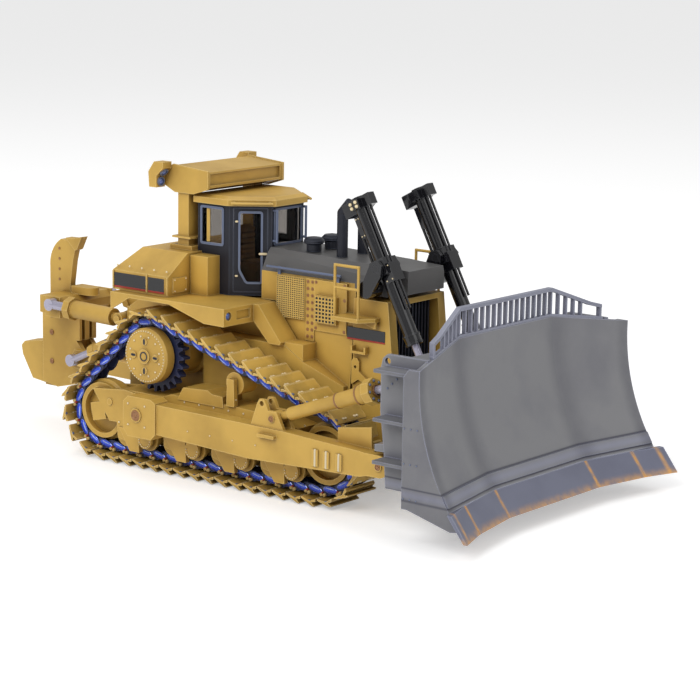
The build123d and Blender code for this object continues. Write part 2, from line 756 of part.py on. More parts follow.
def cab_glass():
    """Panes that fill the cut windows."""
    x_from, x_to, z_from, z_to = side_window
    fit = seat_fit
    wall_y = cab_rear_y - cab_wall / 2 - pane / 2
    side = block(x_from + fit, x_to - fit, wall_y, wall_y + pane, z_from + fit, z_to - fit)
    half, low, high = front_window
    wall_x = cab_front_x - cab_wall / 2 - pane / 2
    front = block(wall_x, wall_x + pane, -half + fit, half - fit, low + fit, high - fit)
    half, low, high = rear_window
    wall_x = cab_rear_x + cab_wall / 2 - pane / 2
    rear = block(wall_x, wall_x + pane, -half + fit, half - fit, low + fit, high - fit)
    outline = offset(make_face(Polyline(*door_window, close=True)), amount=-fit)
    door_pane = door_frame() * Pos(0, -cab_wall / 2 + pane / 2, 0) * extrude(Plane.XZ * outline, amount=pane)
    return Compound(children=[front, rear, side, mirrored(side), door_pane, mirrored(door_pane)])


def roof():
    """Cab roof with its chamfered front corners and a grab rail along each."""
    low = [(-21.6, 17.0), (-7.4, 17.0), (4.2, 7.6)]
    top = [(-21.0, 15.6), (-8.0, 15.6), (2.6, 6.9)]
    low_face = make_face(Polyline(*(low + [(x, -y) for x, y in reversed(low)]), close=True))
    top_face = make_face(Polyline(*(top + [(x, -y) for x, y in reversed(top)]), close=True))
    base_z = cab_top_z + seat_fit
    base = Pos(0, 0, base_z) * extrude(low_face, amount=roof_edge)
    rim_z = base_z + roof_edge
    cap = loft([Pos(0, 0, rim_z) * low_face, Pos(0, 0, rim_z + roof_crown) * top_face], ruled=True)
    (corner_x, corner_y), (front_x, front_y) = low[1], low[2]
    edge = math.hypot(front_x - corner_x, corner_y - front_y)
    heading = math.degrees(math.atan2(front_y - corner_y, front_x - corner_x))
    middle = Pos((corner_x + front_x) / 2, (corner_y + front_y) / 2, base_z + roof_edge / 2)
    along = middle * Rot(0, 0, heading)
    rail = along * Pos(0, 1.2, 0) * Rot(0, 90, 0) * Cylinder(grab_bar, edge - 2.0)
    for place in (2.0 - edge / 2, edge / 2 - 2.0):
        rail += along * Pos(place, 0.5, 0) * Rot(90, 0, 0) * Cylinder(grab_bar, 1.6)
    return base + cap + [rail, mirrored(rail)]


grab_bar = 0.4


def handrails():
    """Rails beside the hood and in front of the cab's pillars, for the left."""
    top = 63.4 + seat_fit
    rail_z = 65.6
    rail = bar_x(hull_y + 1.5, rail_z, grab_bar, 7.0, 36.0)
    for x in (11.0, 34.0):
        rail += block(x - 0.5, x + 0.5, hull_y + 0.1, hull_y + 0.5, top, rail_z)
        rail += block(x - 0.5, x + 0.5, hull_y + 0.1, hull_y + 1.5, rail_z - 0.4, rail_z + 0.2)
    wire_x = cab_front_x + 1.5
    wire_y = cab_front_y - 0.6
    wire = Pos(wire_x, wire_y, 0) * rod(grab_bar, 71.5, 81.9)
    for z in (72.0, 81.5):
        wire += bar_x(wire_y, z, grab_bar, cab_front_x + seat_fit, wire_x)
    return Compound(children=[rail, wire])


def seat():
    """Driver's seat on its box, with a steering console."""
    floor = deck_z + 1.05
    base = block(-14.5, -7.5, -3.4, 3.4, floor, 61.0)
    cushion = block(-14.8, -6.6, -3.8, 3.8, 60.9, 63.4)
    back = plate_xz([(-16.4, 62.5), (-13.6, 62.5), (-14.4, 73.5), (-16.2, 74.5), (-17.2, 73.5)], -3.6, 3.6)
    console = block(-3.2, -0.6, -4.6, 4.6, floor, 66.5)
    return Compound(children=[base + cushion + back, console])


def rollover_frame():
    """Two posts and the deep beam over the cab, with its end plates."""
    foot = tank_top_z + seat_fit
    beam_outline = [(beam_front_x, 87.6), (beam_front_x, 92.6), (beam_rear_x + 4, 93.8), (beam_rear_x, 91.2),
                    (beam_rear_x, 88.0), (beam_rear_x + 4.8, 85.9), (beam_front_x - 5.7, 85.9)]
    end_outline = [(beam_front_x + 0.4, 87.3), (beam_front_x + 0.4, 93.0), (beam_rear_x + 3.9, 94.2),
                   (beam_rear_x - 0.4, 91.4), (beam_rear_x - 0.4, 87.8), (beam_rear_x + 4.7, 85.4),
                   (beam_front_x - 5.6, 85.4)]
    frame = plate_xz(beam_outline, -beam_y, beam_y)
    frame -= block(beam_front_x - 0.8, beam_front_x + 1, -beam_y + 1.0, beam_y - 1.0, 88.4, 92.0)
    for side in (-1, 1):
        y = side * post_y
        frame += block(post_x - 2.2, post_x + 2.2, y - 2.3, y + 2.3, foot, 86.5)
        frame += block(post_x - 4.8, post_x + 4.4, y - 3.2, y + 3.2, foot, foot + 1.4)
        frame += block(post_x - 3.9, post_x + 3.7, y - 3.2, y + 3.2, 71.2, 71.8)
    ends = plate_xz(end_outline, beam_y - 0.1, beam_y + 0.6)
    return frame + [ends, mirrored(ends)]


def lamp_pods():
    """Four rear corner work lamps in two hooded pods."""
    inner = beam_y + 0.6 + seat_fit
    pod = plate_xz([(-35.4, 86.8), (-35.8, 91.6), (-33.4, 94.9), (-29.6, 94.9), (-29.6, 93.0), (-32.4, 90.4),
                    (-32.4, 86.8)], inner, inner + 4.0)
    return both(pod)


stack_x = 28.4
stack_y = 5.1
stack_radius = 1.7
stack_bend_z = 83.1
cleaner_x = 16.8


def stacks():
    """Two exhaust stacks with slanted outlets."""
    pieces = []
    for side in (-1, 1):
        y = side * stack_y
        foot = hood_top_z(stack_x) + seat_fit
        pipe = Pos(stack_x, y, 0) * rod(stack_radius, foot, stack_bend_z)
        elbow = Pos(stack_x, y, stack_bend_z) * Sphere(stack_radius)
        outlet = Pos(stack_x, y, stack_bend_z) * Rot(0, 42, 0) * rod(stack_radius, 0, 4.6)
        pieces.append(pipe + elbow + outlet)
    return Compound(children=pieces)


def air_cleaners():
    """Two mushroom pre-cleaners on the hood."""
    pieces = []
    for side in (-1, 1):
        profile = [(0, 0), (2.3, 0), (2.3, 2.0), (3.2, 2.6), (3.2, 3.4), (2.4, 4.2), (0, 4.6)]
        face = Plane.XZ * make_face(Polyline(*profile, close=True))
        place = Pos(cleaner_x, side * 4.4, hood_top_z(cleaner_x - 3.2) + seat_fit)
        pieces.append(place * revolve(face, axis=Axis.Z))
    return Compound(children=pieces)


def lift_mounts():
    """Forks on the hood's shoulders that hold the lift cylinders' trunnions."""
    gap = collar_half_y + 0.2
    inner_y = lift_y - gap - fork_ear
    mount = bar_y(yoke_x - 3.6, yoke_z - 6.6, 2.6, hull_y + 0.5, lift_y + gap + fork_ear)
    for y_from in (inner_y, lift_y + gap):
        ear = plate_xz([(yoke_x - 5.8, yoke_z - 7.2), (yoke_x - 1.6, yoke_z - 8.0),
                        (yoke_x + 1.8, yoke_z - 2.2), (yoke_x + 2.1, yoke_z + 1.0),
                        (yoke_x + 0.6, yoke_z + 2.4), (yoke_x - 2.0, yoke_z + 1.6)],
                       y_from, y_from + fork_ear)
        ear -= bar_y(yoke_x, yoke_z, trunnion_pin_radius + run_fit, y_from - 1, y_from + 3)
        mount += ear
    return mount - bar_x(bulge_y, bulge_z, bulge_radius + seat_fit, 40.0, 50.6 + seat_fit)


collar_half_y = 3.2
fork_ear = 1.2


platform_rear_x = 37.2
platform_front_x = 47.0
platform_y = 21.0
platform_z = 53.5
rail_bar = 0.45


def platform():
    """Service platform ahead of the panels, with its gusset and tube rail."""
    inner = hull_y + 0.4 + seat_fit
    step = plate_xy([(platform_rear_x, inner), (platform_rear_x, platform_y), (platform_front_x, platform_y),
                     (platform_front_x + 3.2, platform_y - 4.5), (platform_front_x + 3.2, inner)],
                    platform_z, platform_z + 1.2)
    step -= block(platform_rear_x - 1, 40.25, 0, inner + 0.15, platform_z - 1, platform_z + 2)
    step += plate_xz([(platform_front_x - 4, platform_z + 0.1), (platform_front_x + 2.4, platform_z - 1.9),
                      (platform_front_x + 3.2, platform_z - 1.9), (platform_front_x + 3.2, platform_z + 0.1)],
                     platform_y - 5.6, platform_y - 4.8)
    y = platform_y - 1.0
    for x in (platform_rear_x + rail_bar, platform_front_x - rail_bar):
        step += Pos(x, y, 0) * rod(rail_bar, platform_z + 0.6, 70.4)
    for z in (63.3, 70.0):
        step += bar_x(y, z, rail_bar, platform_rear_x + rail_bar, platform_front_x - rail_bar)
    return step


# Push arms and braces

def push_arm():
    """One push arm: trunnion head, box beam with its ribs, brace lugs and the front tongue."""
    neck_x = blade_pin_x - 4.6
    beam = plate_xz([(trunnion_x + 6.8, 14.3), (trunnion_x + 6.8, 23.6), (brace_foot_x + 4.2, 23.2),
                     (neck_x - 2.4, 21.9), (neck_x, 21.6), (neck_x, 15.0), (neck_x - 2.4, 14.4), (24.0, 12.9)],
                    arm_inner_y, arm_outer_y)
    head = plate_xz([(trunnion_x - 5.5, 14.6), (trunnion_x - 3.8, 12.3), (trunnion_x + 6.0, 12.3),
                     (trunnion_x + 7.8, 14.2), (trunnion_x + 7.8, 24.0), (trunnion_x + 5.8, 25.0),
                     (trunnion_x - 3.6, 25.0), (trunnion_x - 5.5, 23.2)], arm_inner_y, arm_outer_y + 0.6)
    tongue = bar_y(blade_pin_x, blade_pin_z, arm_eye_radius, tongue_inner_y, arm_outer_y)
    tongue += block(blade_pin_x - 5.0, blade_pin_x, tongue_inner_y, arm_outer_y,
                    blade_pin_z - arm_eye_radius, blade_pin_z + arm_eye_radius)
    arm = beam + head + tongue
    arm -= bar_y(trunnion_x, trunnion_z, trunnion_radius + run_fit, arm_inner_y - 1, arm_outer_y + 4)
    arm += bar_y(blade_pin_x, blade_pin_z, blade_pin_radius, cheek_inner_y - 0.4, arm_outer_y + 0.5)
    side = arm_outer_y - 0.2
    for rib_x in (blade_pin_x - 23.0, blade_pin_x - 18.9, blade_pin_x - 14.2):
        arm += block(rib_x - 1.1, rib_x + 1.1, side, arm_outer_y + 0.5, 14.9, 19.8)
    arm += block(brace_foot_x - 4.2, brace_foot_x + 2.2, side, arm_outer_y + 1.4, 20.5, 21.5)
    arm += plate_xz([(blade_pin_x - 18.4, 21.5), (blade_pin_x - 18.4, 26.3), (blade_pin_x - 6.1, 28.2),
                     (blade_pin_x - 6.0, 21.2)], arm_inner_y, arm_inner_y + 0.8)
    for y_from in (brace_y - brace_eye_half - 0.15 - brace_lug, brace_y + brace_eye_half + 0.15):
        lug = plate_xz([(brace_foot_x - 8.5, 22.4), (brace_foot_x - 5.7, 30.2), (brace_foot_x - 4.9, 31.5),
                        (brace_foot_x - 3.2, 31.5), (brace_foot_x - 2.4, 30.2), (brace_foot_x - 1.6, 28.4),
                        (brace_foot_x + 1.6, 28.4), (brace_foot_x + 4.8, 22.4)], y_from, y_from + brace_lug)
        lug -= bar_y(brace_foot_x - 4.0, brace_foot_z + 4.0, 0.8, y_from - 1, y_from + 3)
        arm += lug
    arm += bar_y(brace_foot_x, brace_foot_z, brace_pin_radius, brace_y - brace_eye_half - 0.5,
                 brace_y + brace_eye_half + brace_lug + 0.6)
    return arm


brace_eye_half = 1.3
brace_lug = 1.2
brace_pin_radius = 1.1
tongue_inner_y = 40.2
cheek_outer_y = tongue_inner_y - side_gap
cheek_inner_y = cheek_outer_y - 1.6


def brace_barrel():
    """Tilt brace cylinder with its sleeve, collar and bolted head, on the lugs of the arm."""
    place = aimed(brace_foot_x, brace_y, brace_foot_z, brace_head_x, brace_head_z)
    cap = brace_barrel_length - 2.9
    body = rod(brace_eye_half - 0.05, 1.0, 6.0) + rod(brace_radius, 5.4, cap) + eye(2.1, brace_eye_half)
    body += rod(brace_radius + 0.4, cap - 11.0, cap) + rod(brace_radius + 0.95, cap - 3.0, cap)
    body += Pos(0, 0, cap) * extrude(RegularPolygon(3.9, 8), amount=2.9)
    body -= rod(brace_rod_radius + run_fit, 6.0, brace_barrel_length + 1)
    body -= eye(brace_pin_radius + run_fit, 3)
    return place * body


def brace_rod():
    """Brace rod: its eye stands between the blade's ears."""
    place = aimed(brace_foot_x, brace_y, brace_foot_z, brace_head_x, brace_head_z)
    length = span(brace_foot_x, brace_foot_z, brace_head_x, brace_head_z)
    body = rod(brace_rod_radius, 14.0, length - 0.5)
    body += Pos(0, 0, length) * eye(brace_head_radius, brace_head_half)
    return place * body


brace_head_radius = 2.0
brace_head_half = 1.3


# Blade

def sheet_line(foot_x, run, top_z, shift):
    """Foot, middle and top of an arc that lies shift behind the sheet's front."""
    chord = math.hypot(run, top_z - foot_z)
    mid_x = foot_x - run / 2 - sagitta * (top_z - foot_z) / chord
    mid_z = (foot_z + top_z) / 2 - sagitta * run / chord
    return (foot_x - shift, foot_z), (mid_x - shift, mid_z), (foot_x - run - shift, top_z)


def mould_section(foot_x, run, top_z, y, depth):
    """Section at y from the sheet's front arc to an arc that lies depth behind it."""
    front = ThreePointArc(*sheet_line(foot_x, run, top_z, 0))
    back = ThreePointArc(*reversed(sheet_line(foot_x, run, top_z, depth)))
    face = make_face(front + Line(front @ 1, back @ 0) + back + Line(back @ 1, front @ 0))
    return Pos(0, y, 0) * (Plane.XZ * face)


foot_x = edge_x - edge_run
foot_z = edge_z + edge_height
edge_top_z = foot_z - seat_fit


def facets(depth):
    """Flat middle and two wings swept forward, from the sheet's front to depth behind it."""
    inner = mould_section(foot_x, top_run, blade_top_z, flat_half, depth)
    outer = mould_section(foot_x + wing_sweep, wing_top_run, wing_top_z, blade_half, depth)
    wing = loft([inner, outer], ruled=True)
    return extrude(inner, amount=2 * flat_half) + wing + mirrored(wing)


def back_space():
    """The space behind the sheet's middle surface, for what stands on its back."""
    low = foot_z - 2
    half = sheet / 2
    faces = []
    for x, run, top_z, y in ((foot_x, top_run, blade_top_z, flat_half),
                             (foot_x + wing_sweep, wing_top_run, wing_top_z, blade_half)):
        line = ThreePointArc(*sheet_line(x, run, top_z, half))
        high_z = blade_top_z + 2
        rest = Polyline(line @ 1, (x - run - half, high_z), (60, high_z), (60, low), (x - half, low), line @ 0)
        faces.append(Pos(0, y, 0) * (Plane.XZ * make_face(line + rest)))
    wing = loft(faces, ruled=True)
    return extrude(faces[0], amount=2 * flat_half) + wing + mirrored(wing)


def blade():
    """Mouldboard with its back beams, end plates and the ears that the arms, braces and rods meet."""
    front_x = edge_x + wing_sweep
    pieces = []
    # heights of a beam and how far back it starts
    for z_from, z_to, x_back in ((14.0, 20.0, 82.4), (31.0, 36.0, 80.8), (46.5, 50.5, 80.2)):
        pieces.append(block(x_back, front_x, -back_plate_y - 0.5, back_plate_y + 0.5, z_from, z_to))
    half = [plate_xz([(end_rear_x, 11.0), (front_x, 11.0), (front_x, wing_top_z),
                      (end_rear_x + 1.7, wing_top_z), (end_rear_x, wing_top_z - 2.2)],
                     blade_half - end_plate, blade_half)]
    half.append(plate_xz([(back_x + 2.2, 13.6), (back_x + 1.4, 24.8), (back_x + 0.9, 28.4), (back_x, 35.6),
                          (back_x, 48.6), (back_x + 0.6, 50.9), (back_x + 2.2, 52.2), (front_x, 52.2),
                          (front_x, 13.6)], back_plate_y, back_plate_y + 1.2))
    for z in (21.8, 34.0, 47.9):
        half.append(block(back_x + 2.0, front_x, back_plate_y + 1.1, blade_half - end_plate + 0.1, z, z + 1.0))
    clevis = plate_xz([(back_x + 7, 13.6), (blade_pin_x - 0.6, 15.0), (blade_pin_x - 2.9, blade_pin_z),
                       (blade_pin_x - 0.6, 21.8), (back_x + 7, 24.6), (front_x, 24.6), (front_x, 13.6)],
                      cheek_inner_y, cheek_outer_y)
    half.append(clevis)
    half.append(block(back_x + 3.4, front_x, cheek_inner_y, back_plate_y + 0.6, 23.4, 26.0))
    half.append(plate_xz([(back_x + 3.4, 26.0), (blade_pin_x - 1.5, 24.9), (blade_pin_x - 1.5, 22.9),
                          (back_x + 7, 23.4)], cheek_outer_y - 0.5, arm_outer_y))
    ear = plate_xz([(brace_head_x - 1.6, brace_head_z - 3.4), (brace_head_x - 2.4, brace_head_z),
                    (brace_head_x - 1.6, brace_head_z + 3.4), (front_x, brace_head_z + 5.0),
                    (front_x, brace_head_z - 6.4)], 0, 1.2)
    reach = brace_head_half + 0.3
    half += [Pos(0, brace_y - reach - 1.2, 0) * ear, Pos(0, brace_y + reach, 0) * ear]
    lift_ear = plate_xz([(lift_eye_x - 2.2, lift_eye_z - 2.4), (lift_eye_x - 2.2, lift_eye_z + 2.4),
                         (front_x, lift_eye_z + 7.5), (front_x, lift_eye_z - 8.5)], 0, 1.3)
    reach = lift_eye_half + 0.3
    half += [Pos(0, lift_y - reach - 1.3, 0) * lift_ear, Pos(0, lift_y + reach, 0) * lift_ear]
    for piece in half:
        pieces += [piece, mirrored(piece)]
    back = back_space() & (pieces[0] + pieces[1:])
    body = facets(sheet) + back
    for side in (-1, 1):
        y = side * (cheek_inner_y + cheek_outer_y) / 2
        body -= bar_y(blade_pin_x, blade_pin_z, blade_pin_radius + run_fit, y - 1.5, y + 1.5)
        y = side * (back_plate_y + 0.6)
        body -= bar_y(back_x + 2.3, 50.2, 1.0, y - 1.5, y + 1.5)
    body += [wedge(), mirrored(wedge())]
    return body + foot_strips()


def wedge():
    """Brace under the end plate, behind the corner bit."""
    wing_foot = foot_x + wing_sweep
    return plate_xz([(end_rear_x, foot_z - 1.0), (wing_foot - 0.7, foot_z + 0.4),
                     (wing_foot + 3.0, foot_z - 4.9), (wing_foot + 0.4, foot_z - 5.3)],
                    blade_half - end_plate, blade_half)


def strip_face(x, run, top_z, y):
    """Section of the raised band over the cutting edge at y."""
    height = top_z - foot_z
    low, high = 1.2, 4.4
    points = []
    for z, proud in ((low, -0.3), (low, 0.35), (high, 0.35), (high, -0.3)):
        share = z / height
        points.append((x - run * share - 4 * sagitta * share * (1 - share) + proud, foot_z + z))
    return Pos(0, y, 0) * flat_face(points)


def foot_strips():
    """Raised band along the mouldboard's foot: one in the middle and one on each wing."""
    middle = strip_face(foot_x, top_run, blade_top_z, flat_half)
    end = strip_face(foot_x + wing_sweep, wing_top_run, wing_top_z, blade_half - 0.3)
    wing = loft([middle, end], ruled=True)
    return [extrude(middle, amount=2 * flat_half), wing, mirrored(wing)]


def edge_plate(y_from, y_to, x_from, x_to):
    """Cutting edge segment between two stations across the blade."""
    faces = []
    for y, x in ((y_from, x_from), (y_to, x_to)):
        points = [(x, edge_z), (x - edge_run, edge_top_z), (x - edge_run - 1.5, edge_top_z), (x - 1.3, edge_z)]
        faces.append(Pos(0, y, 0) * flat_face(points))
    return loft(faces, ruled=True)


def cutting_edges():
    """Middle edge and the two wing edges."""
    share = (blade_half - 10.0 - flat_half) / (blade_half - flat_half)
    middle = edge_plate(-flat_half, flat_half, edge_x, edge_x)
    wing = edge_plate(flat_half + 0.15, blade_half - 10.0, edge_x, edge_x + share * wing_sweep)
    return Compound(children=[middle, wing, mirrored(wing)])


def end_bits():
    """Corner bits that run past the wings."""
    share = (blade_half - 9.8 - flat_half) / (blade_half - flat_half)
    bit = edge_plate(blade_half - 9.8, blade_half + end_bit_y, edge_x + share * wing_sweep,
                     edge_x + wing_sweep + end_bit_x)
    return both(bit)


def top_edge(y):
    """Front corner of the mouldboard's top edge at y, as (x, z)."""
    share = max(0.0, (abs(y) - flat_half) / (blade_half - flat_half))
    flat = (foot_x - top_run, blade_top_z)
    wing = (foot_x + wing_sweep - wing_top_run, wing_top_z)
    return tuple(a + share * (b - a) for a, b in zip(flat, wing))


guard_rail_z = 62.9
guard_fold_y = 23.4
guard_drop_y = 38.5   # where the slanted rail turns down
guard_foot_y = 42.6
guard_bar = 1.3
slat_pitch = guard_fold_y / 8
slats_each_side = 12


def guard_rail(y):
    """Middle of the rail at y, as (x, z)."""
    x, z = top_edge(y)
    if y <= guard_fold_y:
        return x - 0.8, guard_rail_z
    share = (y - guard_fold_y) / (guard_drop_y - guard_fold_y)
    end_x, end_z = top_edge(guard_drop_y)
    start_x = top_edge(guard_fold_y)[0]
    return start_x - 0.8 + share * (end_x - start_x), guard_rail_z + share * (end_z + 4.6 - guard_rail_z)


def guard_station(y, x, z, half_x=0.8, half_z=0.55):
    """Flat bar's section of the guard at y."""
    return Pos(0, y, 0) * flat_face([(x - half_x, z - half_z), (x + half_x, z - half_z),
                                     (x + half_x, z + half_z), (x - half_x, z + half_z)])


def guard():
    """Slatted spill guard on the blade's top edge: sill, slats and the bent rail."""
    level = guard_rail(0)
    drop = guard_rail(guard_drop_y)
    sill_half = 0.35
    sills = []
    for y in (guard_fold_y, guard_foot_y + 0.8):
        x, z = top_edge(y)
        sills.append(guard_station(y, x - 0.75, z + seat_fit + sill_half, 0.65, sill_half))
    post_edge_x, post_edge_z = top_edge(guard_foot_y)
    knee = (post_edge_x - 0.8, drop[1] - 1.2)
    half = [loft([guard_station(guard_fold_y, *level), guard_station(guard_drop_y, *drop)], ruled=True),
            loft([guard_station(guard_drop_y, *drop), guard_station(guard_foot_y + 0.4, *knee)], ruled=True),
            block(knee[0] - 0.8, knee[0] + 0.7, guard_foot_y - 0.4, guard_foot_y + 0.4,
                  post_edge_z + seat_fit + sill_half, knee[1] + 0.3),
            loft(sills, ruled=True)]
    half += [slat(slat_pitch * number) for number in range(1, slats_each_side + 1)]
    middle = [extrude(guard_station(guard_fold_y, *level), amount=2 * guard_fold_y),
              extrude(sills[0], amount=2 * guard_fold_y), slat(0)]
    return middle[0] + middle[1:] + half + [mirrored(piece) for piece in half]


def slat(y):
    """Upright plate of the guard at y."""
    rail_x, rail_z = guard_rail(y)
    return block(rail_x - 0.65, rail_x + 0.65, y - 0.28, y + 0.28, top_edge(y)[1] + seat_fit + 0.2, rail_z)


# Lift cylinders

def lift_barrel():
    """Lift cylinder barrel in its trunnion collar, with the head block, valve plate and pipes."""
    place = aimed(yoke_x, lift_y, yoke_z, lift_eye_x, lift_eye_z)
    top = -lift_barrel_above
    body = rod(lift_radius, top, lift_barrel_below)
    body += Box(5.4, 2 * collar_half_y, 5.0)
    body += Rot(90, 0, 0) * Cylinder(trunnion_pin_radius, 2 * (collar_half_y + 0.2 + fork_ear))
    body += rod(lift_radius + 0.35, lift_barrel_below - 3.0, lift_barrel_below)
    # towards the rear from and to, half width, down the barrel from and to
    blocks = [(-5.0, 5.6, 1.5, top + 0.2, top + 3.8), (0, 5.6, 1.9, top + 0.4, top + 4.6),
              (-1.9, 1.9, 3.4, top + 0.8, top + 3.6), (1.4, 3.3, 1.2, top + 5.2, top + 12.0),
              (0, 4.4, 1.6, -2.2, 1.6), (-3.6, 0, 2.4, -0.5, 5.2)]
    for x_from, x_to, half_y, z_from, z_to in blocks:
        body += block(x_from, x_to, -half_y, half_y, z_from, z_to)
    for y in (-0.8, 0.8):
        body += Pos(-2.7, y, 0) * rod(0.4, top + 3.0, 14.0)
        body += Pos(3.0, y, 0) * rod(0.45, top + 11.5, -2.0)
    body -= rod(lift_rod_radius + run_fit, top + 1.5, lift_barrel_below + 1)
    return place * body


def lift_rod():
    """Lift rod with the eye that stands between the blade's ears."""
    place = aimed(yoke_x, lift_y, yoke_z, lift_eye_x, lift_eye_z)
    length = span(yoke_x, yoke_z, lift_eye_x, lift_eye_z)
    body = rod(lift_rod_radius, length - lift_rod_length, length - 0.5)
    body += Pos(0, 0, length) * eye(1.9, lift_eye_half)
    return place * body


lift_eye_half = 1.5


# Ripper

def ripper_link():
    """Lower link: two arms joined by a plate, from the hull's shaft to the carrier's tube."""
    arm_from = link_arm_y - link_arm_thick / 2
    arm_to = link_arm_y + link_arm_thick / 2
    low = 2.6
    outline = [(ripper_pivot_x + 0.9, ripper_pivot_z - low + 0.4),
               (ripper_pivot_x + 2.2, ripper_pivot_z - 0.9), (ripper_pivot_x + 2.2, ripper_pivot_z + 0.9),
               (ripper_pivot_x + 0.9, ripper_pivot_z + low - 0.4),
               (ripper_pivot_x - 1.6, ripper_pivot_z + low), (ripper_pin_x - 1.2, ripper_pin_z + low + 0.6),
               (ripper_pin_x - 3.2, ripper_pin_z), (ripper_pin_x - 1.2, ripper_pin_z - low - 0.6),
               (ripper_pivot_x - 1.6, ripper_pivot_z - low)]
    arm = plate_xz(outline, arm_from, arm_to)
    arm -= bar_y(ripper_pivot_x, ripper_pivot_z, ripper_shaft_radius + run_fit, arm_from - 1, arm_to + 1)
    arm -= bar_y(ripper_pin_x, ripper_pin_z, ripper_tube_radius + seat_fit, arm_from - 1, arm_to + 1)
    web = block(-76.0, -61.5, -arm_from - 0.1, arm_from + 0.1, 21.4, 23.4)
    return arm + mirrored(arm) + web


def ripper_carrier():
    """Carrier box with the shank's pocket, top beam, eye plates, ribs, lower lugs and rear push block."""
    rear, front = carrier_rear_x, carrier_front_x
    low, top = carrier_low_z, carrier_top_z
    box = plate_xz([(rear, low + 1.2), (rear + 7.0, low), (front, low + 2.0), (front, top), (rear, top)],
                   -carrier_half, carrier_half)
    push = plate_xz([(rear + 0.5, low + 15.2), (rear - 9.6, low + 13.6), (rear - 11.2, low + 12.0),
                     (rear - 10.6, low + 9.0), (rear - 5.8, low + 1.2), (rear + 0.5, low + 0.5)], -3.2, 3.2)
    beam = plate_xz([(rear + 7.0, top - 3.1), (front + 0.1, top - 3.9), (front + 1.8, top - 2.1),
                     (front + 1.8, top + 0.5), (front + 0.3, top + 2.7), (rear + 7.0, top + 2.7)],
                    -12.0, 12.0)
    plates = plate_xz([(tilt_eye_x - 4.4, tilt_eye_z - 4.6), (tilt_eye_x + 2.4, tilt_eye_z - 4.6),
                       (tilt_eye_x + 2.4, tilt_eye_z + 2.4), (tilt_eye_x - 4.4, tilt_eye_z + 2.4)], 11.6, 12.5)
    pin = bar_y(tilt_eye_x, tilt_eye_z, tilt_pin_radius, 11.9, tilt_y - tilt_eye_half - 0.1)
    lug = plate_xz([(front - 0.6, ripper_pin_z - 7.0), (ripper_pin_x - 0.6, ripper_pin_z - 2.6),
                    (ripper_pin_x + 2.4, ripper_pin_z), (ripper_pin_x - 0.6, ripper_pin_z + 2.6),
                    (front - 0.6, ripper_pin_z + 7.0)], 2.2, 4.0)
    box += [push, beam, plates, mirrored(plates), pin, mirrored(pin), lug, mirrored(lug)]
    for y_from, y_to in ((-4.0, -2.8), (-1.3, 0.7), (2.2, 4.0)):
        box += block(front - 0.1, front + 2.2, y_from, y_to, ripper_pin_z + 5.6, top - 3.0)
    latch = block(front - 2.9, front + 4.0, -2.6, 2.6, top + 2.6, top + 5.2)
    latch += Pos(front + 4.0, 0, 0) * rod(2.6, top + 2.6, top + 5.2)
    box += latch
    box += block(rear - 0.6, rear + 4.0, -2.2, 2.2, low - 0.4, low + 1.4)
    box -= bar_y(ripper_pin_x, ripper_pin_z, ripper_tube_radius + run_fit, -5, 5)
    box -= block(shank_rear_x - seat_fit, shank_front_x + seat_fit, -shank_thick / 2 - seat_fit,
                 shank_thick / 2 + seat_fit, shank_foot_z, top + 20)
    return box


def ripper_cross_tube():
    """Tube fixed across the links, which the carrier turns on."""
    end = rip_lift_y - 1.1 - side_gap
    profile = [(0, -end), (ripper_tube_radius, -end), (ripper_tube_radius, end), (0, end)]
    return wheel_y(ripper_pin_x, 0, ripper_pin_z, profile)


shank_rear_x = -101.0
shank_front_x = -91.4
shank_foot_z = 15.0
tilt_eye_half = 1.4
tilt_pin_radius = 1.2


def shank():
    """Ripper shank carried point up, with its curved claw."""
    rear, front = shank_rear_x, shank_front_x
    foot = shank_foot_z + seat_fit
    edge = Polyline((rear, 52.0), (rear, foot), (front, foot), (front, 47.0), (front + 1.2, 54.9),
                    (front + 2.2, 58.5), (front - 1.3, 61.7), (front - 4.3, 61.8))
    back = ThreePointArc((front - 4.3, 61.8), (rear + 1.5, 58.2), (rear, 52.0))
    face = Plane.XZ * make_face(edge + back)
    return Pos(0, -shank_thick / 2, 0) * extrude(face, amount=-shank_thick)


def shank_tip():
    """Replaceable point on the shank."""
    front = shank_front_x
    line = [(front + 2.3, 58.5), (front + 3.3, 58.9), (front + 5.6, 63.4), (front + 1.4, 62.6),
            (front - 1.9, 62.5), (front - 1.25, 61.8)]
    return plate_xz(line, -1.5, 1.5)


def ripper_barrel(foot_x, foot_z, eye_x, eye_z, y, radius, rod_radius, length, half, pin, head):
    """A ripper cylinder's barrel with its foot eye and octagonal head."""
    body = rod(half - 0.05, 0.8, 3.4) + rod(radius, 3.0, length) + eye(2.0 if radius > 2.5 else 1.7, half)
    body += Pos(0, 0, length - 2.6) * extrude(RegularPolygon(head, 8), amount=2.6)
    body -= rod(rod_radius + run_fit, 4.0, length + 1)
    body -= eye(pin + run_fit, half + 1)
    return aimed(foot_x, y, foot_z, eye_x, eye_z) * body


def ripper_rod(foot_x, foot_z, eye_x, eye_z, y, rod_radius, reach, half):
    """A ripper cylinder's rod with its eye."""
    length = span(foot_x, foot_z, eye_x, eye_z)
    body = rod(rod_radius, length - reach, length - 0.5)
    body += Pos(0, 0, length) * eye(2.0, half)
    return aimed(foot_x, y, foot_z, eye_x, eye_z) * body


os.makedirs("parts", exist_ok=True)

save_pair("track", track())
save("idlers", idlers())
save("sprockets", both(sprocket()))
save("final_drives", both(final_drive()))
save("rollers", rollers())
save("carrier_rollers", both(carrier_roller()))
save_pair("track_frame", track_frame())

